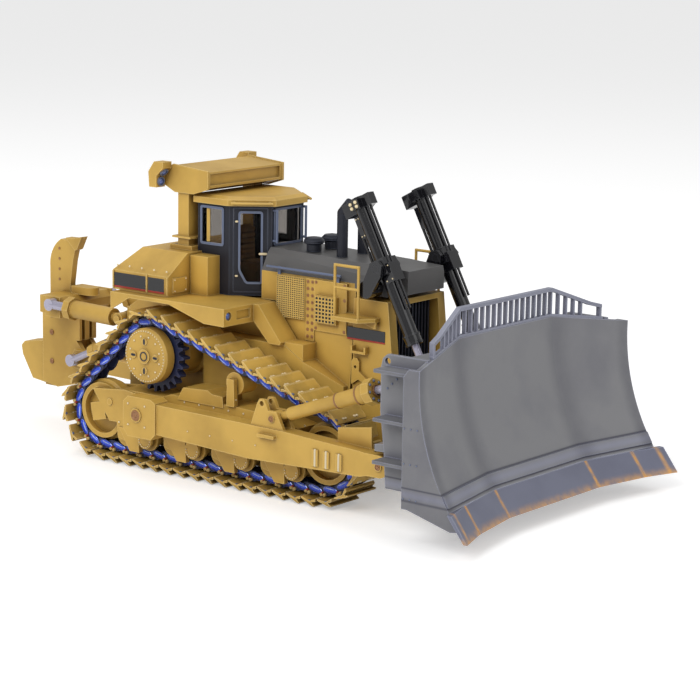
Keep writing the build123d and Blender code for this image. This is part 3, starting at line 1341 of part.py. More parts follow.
save("hull", hull())
save("hull_steps", both(hull_steps()))
save("rear_bracket", rear_bracket())
save("radiator_guard", radiator_guard())
save("radiator_grille", grille())
save("engine_enclosure", enclosure())
save("hood", hood())
save("fenders", both(fender()))
save("rear_tank", tank())
save("side_boxes", both(side_box()))
save("cab_shell", cab_shell())
save("cab_doors", both(door()))
save("cab_glass", cab_glass())
save("cab_roof", roof())
save("cab_seat", seat())
save("rollover_frame", rollover_frame())
save("lamp_pods", lamp_pods())
save("exhaust_stacks", stacks())
save("air_cleaners", air_cleaners())
save("lift_mounts", both(lift_mounts()))
save("service_platforms", both(platform()))
save("handrails", both(handrails()))

save_pair("push_arm", push_arm())
save_pair("brace_barrel", brace_barrel())
save_pair("brace_rod", brace_rod())

save("blade", blade())
save("cutting_edges", cutting_edges())
save("end_bits", end_bits())
save("spill_guard", guard())

save_pair("lift_barrel", lift_barrel())
save_pair("lift_rod", lift_rod())

save("ripper_link", ripper_link())
save("ripper_cross_tube", ripper_cross_tube())
save("ripper_carrier", ripper_carrier())
save("ripper_shank", shank())
save("ripper_tip", shank_tip())
tilt = (tilt_foot_x, tilt_foot_z, tilt_eye_x, tilt_eye_z, tilt_y)
rip_lift = (rip_lift_foot_x, rip_lift_foot_z, ripper_pin_x, ripper_pin_z, rip_lift_y)
tilt_head = tilt_radius + 1.0
save_pair("ripper_tilt_barrel", ripper_barrel(*tilt, tilt_radius, tilt_rod_radius, 23.5, 1.6, 1.2, tilt_head))
save_pair("ripper_tilt_rod", ripper_rod(*tilt, tilt_rod_radius, 22.0, tilt_eye_half))
# the lift cylinders' heads pass beside the link's arms
lift_head = rip_lift_y - link_arm_y - link_arm_thick / 2 - 0.1
save_pair("ripper_lift_barrel",
          ripper_barrel(*rip_lift, rip_lift_radius, rip_lift_rod_radius, 19.0, 1.2, 1.0, lift_head))
save_pair("ripper_lift_rod", ripper_rod(*rip_lift, rip_lift_rod_radius, 20.0, 1.1))
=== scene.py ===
import bpy
import bmesh
import math
from mathutils import Matrix, Vector


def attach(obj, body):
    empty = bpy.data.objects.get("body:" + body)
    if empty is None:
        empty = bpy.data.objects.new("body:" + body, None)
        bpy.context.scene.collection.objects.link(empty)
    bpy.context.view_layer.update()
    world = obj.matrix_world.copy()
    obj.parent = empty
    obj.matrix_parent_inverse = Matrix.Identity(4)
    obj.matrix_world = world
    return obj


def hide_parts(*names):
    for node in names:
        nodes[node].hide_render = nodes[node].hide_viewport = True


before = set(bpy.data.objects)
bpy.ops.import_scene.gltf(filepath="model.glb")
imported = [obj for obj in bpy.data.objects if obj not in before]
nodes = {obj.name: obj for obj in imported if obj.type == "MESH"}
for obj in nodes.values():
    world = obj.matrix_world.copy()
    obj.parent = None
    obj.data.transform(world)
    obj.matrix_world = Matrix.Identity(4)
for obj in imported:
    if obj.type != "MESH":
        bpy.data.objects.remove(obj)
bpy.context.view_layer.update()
mm = 0.001


# Camera, lamps and floor

view = {"place": (0.4740, -0.5662, 0.1813), "target": (0.02792, 0.0001, 0.04001), "lens": 122.8, "roll": 0.93,
        "sensor": 36, "reach": (0.05, 20)}
# each lamp: place, size and watts
studio = {"lamps": {"keyLamp": ((0.1, -0.85, 0.75), 0.6, 5.4), "fillLamp": ((0.9, -0.2, 0.4), 0.6, 1.3),
                    "topLamp": ((-0.3, 0.3, 0.9), 0.7, 1.6)},
          "target": (0, 0, 0.04), "world": 0.50, "floor": (0.93, 0.93, 0.93), "floorHalf": 6,
          "floorDrop": 0.0002, "floorGlow": 0.35}


def aimed(place, target):
    # stands at place and looks at target
    place = Vector(place)
    return Matrix.Translation(place) @ (Vector(target) - place).to_track_quat("-Z", "Y").to_matrix().to_4x4()


def addObject(name, content):
    made = bpy.data.objects.new(name, content)
    bpy.context.scene.collection.objects.link(made)
    return made


def addNode(tree, kind, values=None, **settings):
    node = tree.nodes.new(f"ShaderNode{kind}")
    for name, value in settings.items():
        setattr(node, name, value)
    for name, value in (values or {}).items():
        node.inputs[name].default_value = value
    return node


def newMaterial(name, values):
    material = bpy.data.materials.new(name)
    material.use_nodes = True
    shader = material.node_tree.nodes["Principled BSDF"]
    for label, value in values.items():
        shader.inputs[label].default_value = value
    return material, material.node_tree, shader


def makeCamera():
    camera = bpy.data.cameras.new("camera")
    camera.lens = view["lens"]
    camera.sensor_width = view["sensor"]
    camera.clip_start, camera.clip_end = view["reach"]
    holder = addObject("camera", camera)
    roll = Matrix.Rotation(math.radians(view["roll"]), 4, "Z")
    holder.matrix_world = aimed(view["place"], view["target"]) @ roll
    bpy.context.scene.camera = holder


def makeLamps():
    for name, (place, size, watts) in studio["lamps"].items():
        lamp = bpy.data.lights.new(name, "AREA")
        lamp.size = size
        lamp.energy = watts
        addObject(name, lamp).matrix_world = aimed(place, studio["target"])


def makeWorld():
    # soft light on the object, plain white behind it and through its glass
    world = bpy.data.worlds.new("studio")
    bpy.context.scene.world = world
    world.use_nodes = True
    tree = world.node_tree
    background = tree.nodes["Background"]
    background.inputs["Color"].default_value = (1, 1, 1, 1)
    path = addNode(tree, "LightPath")
    seen = addNode(tree, "Math", operation="MAXIMUM")
    level = addNode(tree, "Mix", {"A": studio["world"], "B": 1.0})
    tree.links.new(path.outputs["Is Camera Ray"], seen.inputs[0])
    tree.links.new(path.outputs["Is Transmission Ray"], seen.inputs[1])
    tree.links.new(seen.outputs[0], level.inputs["Factor"])
    tree.links.new(level.outputs["Result"], background.inputs["Strength"])


def makeFloor():
    mesh = bpy.data.meshes.new("floor")
    made = bmesh.new()
    bmesh.ops.create_grid(made, x_segments=1, y_segments=1, size=studio["floorHalf"])
    bmesh.ops.translate(made, verts=made.verts, vec=(0, 0, -studio["floorDrop"]))
    made.to_mesh(mesh)
    made.free()
    pale, tree, shader = newMaterial("floorPale", {
        "Base Color": (*studio["floor"], 1), "Roughness": 0.9, "Specular IOR Level": 0.0,
        "Emission Color": (1, 1, 1, 1)})
    path = addNode(tree, "LightPath")
    glow = addNode(tree, "Math", {1: studio["floorGlow"]}, operation="MULTIPLY")
    tree.links.new(path.outputs["Is Camera Ray"], glow.inputs[0])
    tree.links.new(glow.outputs[0], shader.inputs["Emission Strength"])
    mesh.materials.append(pale)
    addObject("floor", mesh)


# Shared effects

def newGroup(name, inputs, outputs):
    # inputs by their first values, outputs by their kinds
    group = bpy.data.node_groups.new(name, "ShaderNodeTree")
    for label, value in inputs.items():
        kind = "NodeSocketColor" if isinstance(value, tuple) else "NodeSocketFloat"
        group.interface.new_socket(label, in_out="INPUT", socket_type=kind).default_value = value
    for label, kind in outputs.items():
        group.interface.new_socket(label, in_out="OUTPUT", socket_type=kind)
    return group, group.nodes.new("NodeGroupInput"), group.nodes.new("NodeGroupOutput")


# lengths in metres; a pair is where an effect starts and where it is full
casting = {"cloud": (0.42, 0.72), "cloudDetail": 5, "cloudRoughness": 0.25, "corner": (0.95, 0.35),
           "cornerReach": 0.004, "cornerRays": 6, "edge": (0.995, 0.9), "edgeRadius": 0.0005, "edgeRays": 4,
           "grainDetail": 2, "grainStrength": 0.06, "grainDepth": 0.0002}


def addRange(tree, ends, **settings):
    return addNode(tree, "MapRange", {"From Min": ends[0], "From Max": ends[1]}, **settings)


def makeCastFinish():
    # cloudy colour, painted shade in corners, worn edges with painted highlights on them, and fine grain of a
    # painted casting
    group, enter, leave = newGroup("castFinish", {
        "Paint": (0.6, 0.45, 0.15, 1), "Shade": (0.3, 0.2, 0.08, 1), "Edge": (0.8, 0.65, 0.35, 1),
        "Cloud Size": 60.0, "Cloud": 0.3, "Corner": 0.6, "Wear And Highlight": 0.4, "Roughness": 0.45,
        "Grain Size": 1500.0},
        {"Color": "NodeSocketColor", "Roughness": "NodeSocketFloat", "Height": "NodeSocketFloat"})
    link = group.links.new
    place = addNode(group, "TexCoord")
    cloud = addNode(group, "TexNoise", {"Detail": casting["cloudDetail"]})
    link(place.outputs["Object"], cloud.inputs["Vector"])
    link(enter.outputs["Cloud Size"], cloud.inputs["Scale"])
    cloudMask = addRange(group, casting["cloud"])
    link(cloud.outputs["Fac"], cloudMask.inputs["Value"])
    link(enter.outputs["Cloud"], cloudMask.inputs["To Max"])
    # painted shade: the paint turns to the Shade colour where ambient occlusion finds near surfaces
    corner = addNode(group, "AmbientOcclusion", {"Distance": casting["cornerReach"]},
                     samples=casting["cornerRays"])
    cornerShade = addRange(group, casting["corner"])
    link(corner.outputs["AO"], cornerShade.inputs["Value"])
    link(enter.outputs["Corner"], cornerShade.inputs["To Max"])
    # an edge is where the rounded surface turns away from the flat one
    rounded = addNode(group, "Bevel", {"Radius": casting["edgeRadius"]}, samples=casting["edgeRays"])
    flat = addNode(group, "NewGeometry")
    facing = addNode(group, "VectorMath", operation="DOT_PRODUCT")
    link(rounded.outputs["Normal"], facing.inputs[0])
    link(flat.outputs["Normal"], facing.inputs[1])
    edge = addRange(group, casting["edge"])
    link(facing.outputs["Value"], edge.inputs["Value"])
    link(enter.outputs["Wear And Highlight"], edge.inputs["To Max"])
    # worn edges and painted highlights: edges turn towards the Edge colour, broken up by the cloud
    broken = addNode(group, "Math", operation="MULTIPLY")
    link(edge.outputs["Result"], broken.inputs[0])
    link(cloud.outputs["Fac"], broken.inputs[1])
    colour = enter.outputs["Paint"]
    for mask, other in ((cloudMask.outputs["Result"], "Shade"), (cornerShade.outputs["Result"], "Shade"),
                        (broken.outputs[0], "Edge")):
        mixed = addNode(group, "Mix", data_type="RGBA")
        link(mask, mixed.inputs["Factor"])
        link(colour, mixed.inputs["A"])
        link(enter.outputs[other], mixed.inputs["B"])
        colour = mixed.outputs["Result"]
    grain = addNode(group, "TexNoise", {"Detail": casting["grainDetail"]})
    link(place.outputs["Object"], grain.inputs["Vector"])
    link(enter.outputs["Grain Size"], grain.inputs["Scale"])
    rough = addNode(group, "Math", {1: casting["cloudRoughness"]}, operation="MULTIPLY_ADD")
    link(cloudMask.outputs["Result"], rough.inputs[0])
    link(enter.outputs["Roughness"], rough.inputs[2])
    link(colour, leave.inputs["Color"])
    link(rough.outputs[0], leave.inputs["Roughness"])
    link(grain.outputs["Fac"], leave.inputs["Height"])
    return group


band = {"noiseSize": 420.0, "noiseDetail": 6, "noise": (0.35, 0.62)}


def makeBandTint():
    # a soft stripe of another colour about one distance along an axis, broken up by noise
    group, enter, leave = newGroup("bandTint", {
        "Color": (0.5, 0.5, 0.5, 1), "Tint": (0.7, 0.35, 0.1, 1), "Across": 0.0, "Middle": 0.0,
        "Width": 0.002, "Amount": 0.8, "Breakup": 0.5}, {"Color": "NodeSocketColor"})
    link = group.links.new
    away = addNode(group, "Math", operation="SUBTRACT")
    link(enter.outputs["Across"], away.inputs[0])
    link(enter.outputs["Middle"], away.inputs[1])
    size = addNode(group, "Math", operation="ABSOLUTE")
    link(away.outputs[0], size.inputs[0])
    near = addNode(group, "MapRange", {"To Max": 0.0}, interpolation_type="SMOOTHSTEP")
    link(size.outputs[0], near.inputs["Value"])
    link(enter.outputs["Width"], near.inputs["From Max"])
    link(enter.outputs["Amount"], near.inputs["To Min"])
    place = addNode(group, "TexCoord")
    noise = addNode(group, "TexNoise", {"Scale": band["noiseSize"], "Detail": band["noiseDetail"]})
    link(place.outputs["Object"], noise.inputs["Vector"])
    grains = addRange(group, band["noise"])
    link(noise.outputs["Fac"], grains.inputs["Value"])
    broken = addNode(group, "Mix", {"A": 1.0})
    link(enter.outputs["Breakup"], broken.inputs["Factor"])
    link(grains.outputs["Result"], broken.inputs["B"])
    level = addNode(group, "Math", operation="MULTIPLY")
    link(near.outputs["Result"], level.inputs[0])
    link(broken.outputs["Result"], level.inputs[1])
    mixed = addNode(group, "Mix", data_type="RGBA")
    link(level.outputs[0], mixed.inputs["Factor"])
    link(enter.outputs["Color"], mixed.inputs["A"])
    link(enter.outputs["Tint"], mixed.inputs["B"])
    link(mixed.outputs["Result"], leave.inputs["Color"])
    return group


castFinish = makeCastFinish()
bandTint = makeBandTint()


def addBands(material, bands):
    # each band is an axis, its middle, width, colour, amount and breakup; Y is taken on both sides
    tree = material.node_tree
    link = tree.links.new
    colour = tree.nodes["Principled BSDF"].inputs["Base Color"]
    place = addNode(tree, "TexCoord")
    split = addNode(tree, "SeparateXYZ")
    link(place.outputs["Object"], split.inputs[0])
    size = addNode(tree, "Math", operation="ABSOLUTE")
    link(split.outputs["Y"], size.inputs[0])
    for axis, middle, width, tint, amount, breakup in bands:
        stripe = addNode(tree, "Group", node_tree=bandTint)
        link(colour.links[0].from_socket, stripe.inputs["Color"])
        link(size.outputs[0] if axis == "Y" else split.outputs[axis], stripe.inputs["Across"])
        for label, value in (("Tint", (*tint, 1)), ("Middle", middle * mm), ("Width", width * mm),
                             ("Amount", amount), ("Breakup", breakup)):
            stripe.inputs[label].default_value = value
        link(stripe.outputs["Color"], colour)


def castMaterial(name, paint, shade, edge, cloud=0.3, corner=0.6, wearAndHighlight=0.4, roughness=0.45, metallic=0.0,
                 cloudSize=60.0, coat=0.0, specular=0.5):
    material, tree, shader = newMaterial(name, {"Metallic": metallic, "Coat Weight": coat,
                                                "Specular IOR Level": specular})
    finish = addNode(tree, "Group", node_tree=castFinish)
    for label, value in (("Paint", (*paint, 1)), ("Shade", (*shade, 1)), ("Edge", (*edge, 1)),
                         ("Cloud Size", cloudSize), ("Cloud", cloud), ("Corner", corner), ("Wear And Highlight", wearAndHighlight),
                         ("Roughness", roughness)):
        finish.inputs[label].default_value = value
    bump = addNode(tree, "Bump", {"Strength": casting["grainStrength"], "Distance": casting["grainDepth"]})
    tree.links.new(finish.outputs["Color"], shader.inputs["Base Color"])
    tree.links.new(finish.outputs["Roughness"], shader.inputs["Roughness"])
    tree.links.new(finish.outputs["Height"], bump.inputs["Height"])
    tree.links.new(bump.outputs["Normal"], shader.inputs["Normal"])
    return material


# Each finish: paint, shade and edge colours, then what differs from a plain casting; shade is cloud tone and
# painted corner shade, edge is wear and painted highlight
finishTable = {
    "bodyYellow": ((0.63, 0.392, 0.078), (0.20, 0.100, 0.014), (0.98, 0.77, 0.32),
                   {"cloud": 0.38, "corner": 0.9, "wearAndHighlight": 0.75}),
    "shoeYellow": ((0.68, 0.43, 0.09), (0.17, 0.10, 0.02), (1.0, 0.84, 0.48),
                   {"cloud": 0.5, "corner": 0.95, "wearAndHighlight": 0.9, "cloudSize": 110.0}),
    "bladeGrey": ((0.235, 0.235, 0.245), (0.10, 0.10, 0.135), (0.50, 0.53, 0.68),
                  {"corner": 0.8, "wearAndHighlight": 0.9, "roughness": 0.4, "specular": 0.35}),
    "edgeSteel": ((0.175, 0.185, 0.25), (0.08, 0.08, 0.12), (0.45, 0.48, 0.62),
                  {"wearAndHighlight": 0.9, "roughness": 0.35}),
    "guardLilac": ((0.26, 0.27, 0.34), (0.10, 0.10, 0.14), (0.55, 0.57, 0.70), {}),
    "cabDark": ((0.020, 0.022, 0.032), (0.006, 0.006, 0.010), (0.14, 0.16, 0.22),
                {"roughness": 0.35, "specular": 0.3, "wearAndHighlight": 0.8}),
    "hoodGrey": ((0.115, 0.112, 0.110), (0.045, 0.045, 0.05), (0.30, 0.30, 0.32),
                 {"corner": 0.8, "roughness": 0.38, "specular": 0.35}),
    "seatBrown": ((0.30, 0.17, 0.08), (0.04, 0.02, 0.01), (0.22, 0.15, 0.09), {"roughness": 0.6}),
    "glossBlack": ((0.006, 0.006, 0.008), (0.002, 0.002, 0.003), (0.10, 0.10, 0.12),
                   {"roughness": 0.12, "coat": 0.6, "specular": 0.4}),
    "rodLilac": ((0.52, 0.50, 0.62), (0.2, 0.19, 0.26), (0.9, 0.9, 1.0),
                 {"roughness": 0.22, "metallic": 0.6}),
    "sprocketNavy": ((0.02, 0.03, 0.09), (0.008, 0.01, 0.03), (0.2, 0.22, 0.34), {}),
    # the bright chain blue is a painted reflection on the links, its pale edges painted highlights; the pale
    # chain finish is painted highlights
    "chainBlueReflection": ((0.006, 0.075, 0.85), (0.002, 0.008, 0.10), (0.75, 0.85, 1.0),
                  {"wearAndHighlight": 0.9, "corner": 0.9, "roughness": 0.16, "metallic": 0.25, "coat": 0.7}),
    "chainPaleHighlight": ((0.45, 0.60, 1.0), (0.05, 0.12, 0.5), (1.0, 1.0, 1.0),
                  {"cloud": 0.7, "cloudSize": 500.0, "roughness": 0.2, "coat": 0.5}),
    "paleBolt": ((0.86, 0.72, 0.44), (0.38, 0.25, 0.10), (1.0, 0.95, 0.8), {"roughness": 0.3}),
    "paleTrim": ((0.72, 0.62, 0.42), (0.34, 0.24, 0.12), (0.95, 0.88, 0.7), {"roughness": 0.4}),
    "slateTrim": ((0.115, 0.145, 0.235), (0.04, 0.05, 0.09), (0.5, 0.56, 0.72), {"roughness": 0.32}),
    "copperRivet": ((0.36, 0.17, 0.07), (0.12, 0.05, 0.02), (0.8, 0.5, 0.3),
                    {"roughness": 0.3, "metallic": 0.45, "corner": 0.8}),
    "redDot": ((0.42, 0.03, 0.02), (0.18, 0.01, 0.01), (0.7, 0.2, 0.12), {"roughness": 0.4}),
    "lampBlue": ((0.10, 0.20, 0.62), (0.02, 0.05, 0.2), (0.8, 0.88, 1.0),
                 {"cloud": 0.6, "cloudSize": 400.0, "roughness": 0.08, "coat": 1.0}),
}
finishes = {name: castMaterial(name, paint, shade, edge, **changes)
            for name, (paint, shade, edge, changes) in finishTable.items()}

# Worn margins and seams of the cutting edges, then a strip and soft shadows on the mouldboard
# each band in millimetres: axis, middle, width, colour, amount, breakup
orange, shadow, lilac = (0.78, 0.40, 0.10), (0.05, 0.05, 0.075), (0.28, 0.29, 0.38)
addBands(finishes["edgeSteel"], [("Z", 4.2, 3.4, orange, 0.95, 0.75), ("Y", 23.5, 1.1, orange, 0.9, 0.6),
                                 ("Y", 43.4, 1.1, orange, 0.9, 0.6), ("Y", 52.8, 1.3, orange, 0.7, 0.7)])
addBands(finishes["bladeGrey"], [("Z", 15.3, 1.9, lilac, 0.6, 0.0), ("Y", 25.0, 7.0, shadow, 0.3, 0.1),
                                 ("Z", 17.1, 0.45, shadow, 0.8, 0.0), ("Z", 13.5, 0.6, shadow, 0.7, 0.0),
                                 ("Y", 52.0, 4.5, shadow, 0.35, 0.2)])

glass = {"Base Color": (0.52, 0.50, 0.48, 1), "Transmission Weight": 1.0, "Roughness": 0.05, "IOR": 1.1}
finishes["smokeGlass"] = newMaterial("smokeGlass", glass)[0]

# Nodes that aren't listed are yellow
nodeFinish = {
    "cab_glass": "smokeGlass", "cab_shell": "cabDark", "cab_doors": "cabDark", "cab_seat": "seatBrown",
    "hood": "hoodGrey", "exhaust_stacks": "cabDark", "air_cleaners": "cabDark", "sprockets": "sprocketNavy",
    "blade": "bladeGrey", "cutting_edges": "edgeSteel", "end_bits": "edgeSteel", "spill_guard": "guardLilac",
    "radiator_grille": "cabDark", "track_left": "shoeYellow", "track_right": "shoeYellow",
    "lift_mounts": "glossBlack", "handrails": "slateTrim",
}
for side in ("left", "right"):
    nodeFinish[f"lift_barrel_{side}"] = "glossBlack"
    for rod in ("lift_rod", "brace_rod", "ripper_tilt_rod", "ripper_lift_rod"):
        nodeFinish[f"{rod}_{side}"] = "rodLilac"


def dressNodes():
    for name, node in nodes.items():
        node.data.materials.clear()
        node.data.materials.append(finishes[nodeFinish.get(name, "bodyYellow")])


makeCamera()
makeLamps()
makeWorld()
makeFloor()
bpy.context.scene.view_settings.view_transform = "Standard"
dressNodes()
print("stage: camera, studio and finishes")


# Places, in millimetres

here = Matrix()
outward = Matrix.Rotation(math.pi / 2, 4, "X")  # turns a shape's own Z to the near side
halfTurn = Matrix.Rotation(math.pi, 4, "X")
otherSide = Matrix.Scale(-1, 4, (0, 1, 0))


def shift(x, y, z):
    return Matrix.Translation((x, y, z))


def onSide(x, z, y):
    # a shape's own Z points away from the near side's wall at y
    return shift(x, -y, z) @ outward


def onFront(x, y, z, tip=0.0):
    # a shape's own Z points forward, tipped up by degrees
    return shift(x, y, z) @ Matrix.Rotation(math.pi / 2 - math.radians(tip), 4, "Y")


def ring(count, radius, start=0.0, sweep=math.tau):
    angles = [start + index * (sweep / count) for index in range(count)]
    return [(radius * math.cos(angle), radius * math.sin(angle)) for angle in angles]


# Shapes, in millimetres until they are finished

def keepShape(made):
    mesh = bpy.data.meshes.new("shape")
    made.to_mesh(mesh)
    made.free()
    return mesh


def rectangle(x0, x1, z0, z1):
    return [(x0, z0), (x1, z0), (x1, z1), (x0, z1)]


def newOutline(points, y):
    made = bmesh.new()
    corners = [made.verts.new((x, y, z)) for x, z in points]
    bmesh.ops.contextual_create(made, geom=corners)
    return made


def drawOut(made, depth):
    drawn = bmesh.ops.extrude_face_region(made, geom=made.faces[:])
    moved = [part for part in drawn["geom"] if isinstance(part, bmesh.types.BMVert)]
    bmesh.ops.translate(made, verts=moved, vec=(0, depth, 0))


def drawnShape(points, low, high, bevel=0.0):
    # an outline across X and Z, drawn out along Y from low to high
    made = newOutline(points, low)
    drawOut(made, high - low)
    if bevel:
        bmesh.ops.bevel(made, geom=made.edges[:], offset=bevel, segments=1, profile=0.5, affect="EDGES",
                        material=-1)
    return keepShape(made)


def turnedShape(profile, steps):
    # pairs of radius and height, turned about the shape's own Z
    made = bmesh.new()
    corners = [made.verts.new((radius, 0, height)) for radius, height in profile]
    edges = [made.edges.new(pair) for pair in zip(corners, corners[1:])]
    bmesh.ops.spin(made, geom=corners + edges, axis=(0, 0, 1), cent=(0, 0, 0), steps=steps, angle=math.tau,
                   use_merge=True)
    bmesh.ops.remove_doubles(made, verts=made.verts, dist=0.001)
    return keepShape(made)


def boxShape(x0, x1, y0, y1, z0, z1, bevel):
    return drawnShape(rectangle(x0, x1, z0, z1), y0, y1, min(bevel, 0.4 * (y1 - y0)))


def headShape(radius, height, steps=6):
    profile = [(0, 0), (radius, 0), (radius, 0.6 * height), (0.72 * radius, 0.92 * height), (0, height)]
    return turnedShape(profile, steps)


def bandShape(inner, outer, height, steps):
    return turnedShape([(inner, 0), (outer, 0), (outer, height), (inner, height), (inner, 0)], steps)


def lensShape(size, tip, around, up):
    made = bmesh.new()
    place = Matrix.Rotation(math.radians(tip), 4, "Y") @ Matrix.Diagonal((*size, 1))
    bmesh.ops.create_uvsphere(made, u_segments=around, v_segments=up, radius=1.0, matrix=place)
    return keepShape(made)


def roundedOutline(x0, x1, half, points=5):
    # a bar along X with round ends
    ends = []
    for centre, start in ((x1 - half, -math.pi / 2), (x0 + half, math.pi / 2)):
        ends += [(centre + half * math.cos(start + math.pi * step / (points - 1)),
                  half * math.sin(start + math.pi * step / (points - 1))) for step in range(points)]
    return ends


def trimShape(points, low, high, width, corner=0.9):
    # a frame with rounded corners round an opening
    made = newOutline(points, low)
    bmesh.ops.bevel(made, geom=made.verts[:], offset=corner, segments=4, profile=0.5, affect="VERTICES",
                    material=-1)
    rim = bmesh.ops.inset_region(made, faces=made.faces[:], thickness=width, use_boundary=True,
                                 use_even_offset=True)
    middle = [face for face in made.faces if face not in set(rim["faces"])]
    bmesh.ops.delete(made, geom=middle, context="FACES")
    drawOut(made, high - low)
    return keepShape(made)


def perforatedShape(sheet, thickness=0.25):
    x0, x1, z0, z1 = sheet["area"]
    columns, rows = sheet["holes"]
    made = bmesh.new()
    bmesh.ops.create_grid(made, x_segments=columns, y_segments=rows, size=0.5)
    bmesh.ops.scale(made, verts=made.verts, vec=(x1 - x0, z1 - z0, 1))
    rims = bmesh.ops.inset_individual(made, faces=made.faces[:], thickness=sheet["rim"])
    holes = [face for face in made.faces if face not in set(rims["faces"])]
    bmesh.ops.delete(made, geom=holes, context="FACES")
    bmesh.ops.solidify(made, geom=made.faces[:], thickness=-thickness)
    bmesh.ops.transform(made, verts=made.verts, matrix=onSide((x0 + x1) / 2, (z0 + z1) / 2, sheet["y"]))
    return keepShape(made)


# Pieces

def gather(shapes):
    made = bmesh.new()
    for shape, place in shapes:
        copy = shape.copy()
        copy.transform(place)
        made.from_mesh(copy)
        bpy.data.meshes.remove(copy)
    return made


def finishPiece(name, made, finish, body, hides=()):
    bmesh.ops.scale(made, verts=made.verts, vec=(mm, mm, mm))
    bmesh.ops.remove_doubles(made, verts=made.verts, dist=1e-7)
    bmesh.ops.recalc_face_normals(made, faces=made.faces)
    mesh = bpy.data.meshes.new(name)
    made.to_mesh(mesh)
    made.free()
    mesh.materials.append(finishes[finish])
    piece = addObject(name, mesh)
    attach(piece, body)
    if hides:
        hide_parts(*hides)


def pairPiece(name, shapes, finish, body, hides=()):
    # the near side's shapes and their mirror image in one piece
    made = gather(shapes)
    bmesh.ops.mirror(made, geom=made.verts[:] + made.edges[:] + made.faces[:], axis="Y", merge_dist=0.00001)
    finishPiece(name, made, finish, body, hides)


def eachSide(name, shapes, finish, body):
    # one piece for each side's own body
    for side, sign in (("right", 1), ("left", -1)):
        made = gather(shapes)
        bmesh.ops.scale(made, verts=made.verts, vec=(1, sign, 1))
        finishPiece(f"{name}_{side}", made, finish, f"{body}_{side}")


# Tracks

track = {"y": 29.1, "radius": 11.0, "count": 46, "phase": 0.82, "rail": 2.65, "railTop": 1.7,
         "shoeHalf": 6.88, "corners": [(-46.4, 15.3), (45.1, 15.3), (-25.0, 36.0)]}
# share of the pitch along a shoe, height over the rails
shoeProfile = [(0.04, 0.02), (0.04, 0.45), (0.10, 0.72), (0.60, 0.98), (0.71, 1.25), (0.775, 2.35),
               (0.80, 2.59), (0.875, 2.59), (0.90, 2.35), (0.925, 1.1), (0.985, 0.85), (0.985, 0.02)]
shoeBolt = {"radius": 0.52, "height": 0.5, "rows": (1.35, 3.0), "apart": 0.55, "seat": 0.86}
shoeClip = {"box": (1.0, 3.4, -0.42, 0.42, 0.0, 0.55), "bevel": 0.12, "y": -6.3, "seat": 0.75}
# an ellipsoid's half sizes; a place is along the link, out from its rail and away from the wheels
link = {"thick": 0.6, "bevel": 0.12, "front": (-1.6, 3.6, 1.6), "back": (2.5, 1.5, 1.55), "tip": -13,
        "lens": (2.75, 0.42, 1.12), "lensAt": (2.9, 0.62, -0.15), "glint": (1.9, 0.3, 0.27),
        "glintAt": (2.95, 0.78, -0.62), "peg": (0.62, 0.75), "pegsAt": ((-0.55, 0.95), (0.6, 1.15)),
        "dot": (0.32, 0.75), "dotAt": (0.02, 0.62, 0.35)}


def beltPlaces():
    # a frame for each link: X along it, Z away from the wheels
    corners, radius = track["corners"], track["radius"]
    runs = []
    for index, (x, z) in enumerate(corners):
        nextX, nextZ = corners[(index + 1) % 3]
        afterX, afterZ = corners[(index + 2) % 3]
        heading = math.atan2(nextZ - z, nextX - x)
        turn = (math.atan2(afterZ - nextZ, afterX - nextX) - heading) % math.tau
        runs.append((x, z, heading, math.hypot(nextX - x, nextZ - z), turn))
    pitch = (sum(run[3] for run in runs) + math.tau * radius) / track["count"]
    pins = []
    for number in range(track["count"]):
        left = (number + track["phase"]) * pitch
        for x, z, heading, length, turn in runs:
            onRun = left <= length
            if onRun or left - length <= radius * turn:
                along = min(left, length)
                outwards = heading - math.pi / 2 + (0 if onRun else (left - length) / radius)
                pins.append(Vector((x + along * math.cos(heading) + radius * math.cos(outwards),
                                    z + along * math.sin(heading) + radius * math.sin(outwards))))
                break
            left -= length + radius * turn
    places = []
    for index, pin in enumerate(pins):
        along = (pins[(index + 1) % len(pins)] - pin).normalized()
        places.append(Matrix(((along.x, 0, along.y, pin.x), (0, 1, 0, -track["y"]),
                              (along.y, 0, -along.x, pin.y), (0, 0, 0, 1))))
    return places, pitch


linkPlaces, pitch = beltPlaces()
top, rail = track["railTop"], track["rail"]
shoe = drawnShape([(pitch * share, top + height) for share, height in shoeProfile], -track["shoeHalf"],
                  track["shoeHalf"], 0.06)
bolt = headShape(shoeBolt["radius"], shoeBolt["height"])
boltPlaces = [(x, sign * rail + off) for x in shoeBolt["rows"] for sign in (-1, 1)
              for off in (-shoeBolt["apart"], shoeBolt["apart"])]
clip = boxShape(*shoeClip["box"], shoeClip["bevel"])
linkFront = drawnShape(roundedOutline(*link["front"]), -0.02, link["thick"] + 0.02, link["bevel"])
backStart, backPast, backHalf = link["back"]  # the back runs on past the next pin
linkBack = drawnShape(roundedOutline(backStart, pitch + backPast, backHalf), -link["thick"] - 0.02, -0.06,
                      link["bevel"])
lens = lensShape(link["lens"], link["tip"], 14, 8)
glint = lensShape(link["glint"], link["tip"], 12, 6)
peg = headShape(*link["peg"], 8)
dot = headShape(*link["dot"])
shoes, shoeBolts, clips, links, lenses, glints, pegs, dots = [], [], [], [], [], [], [], []
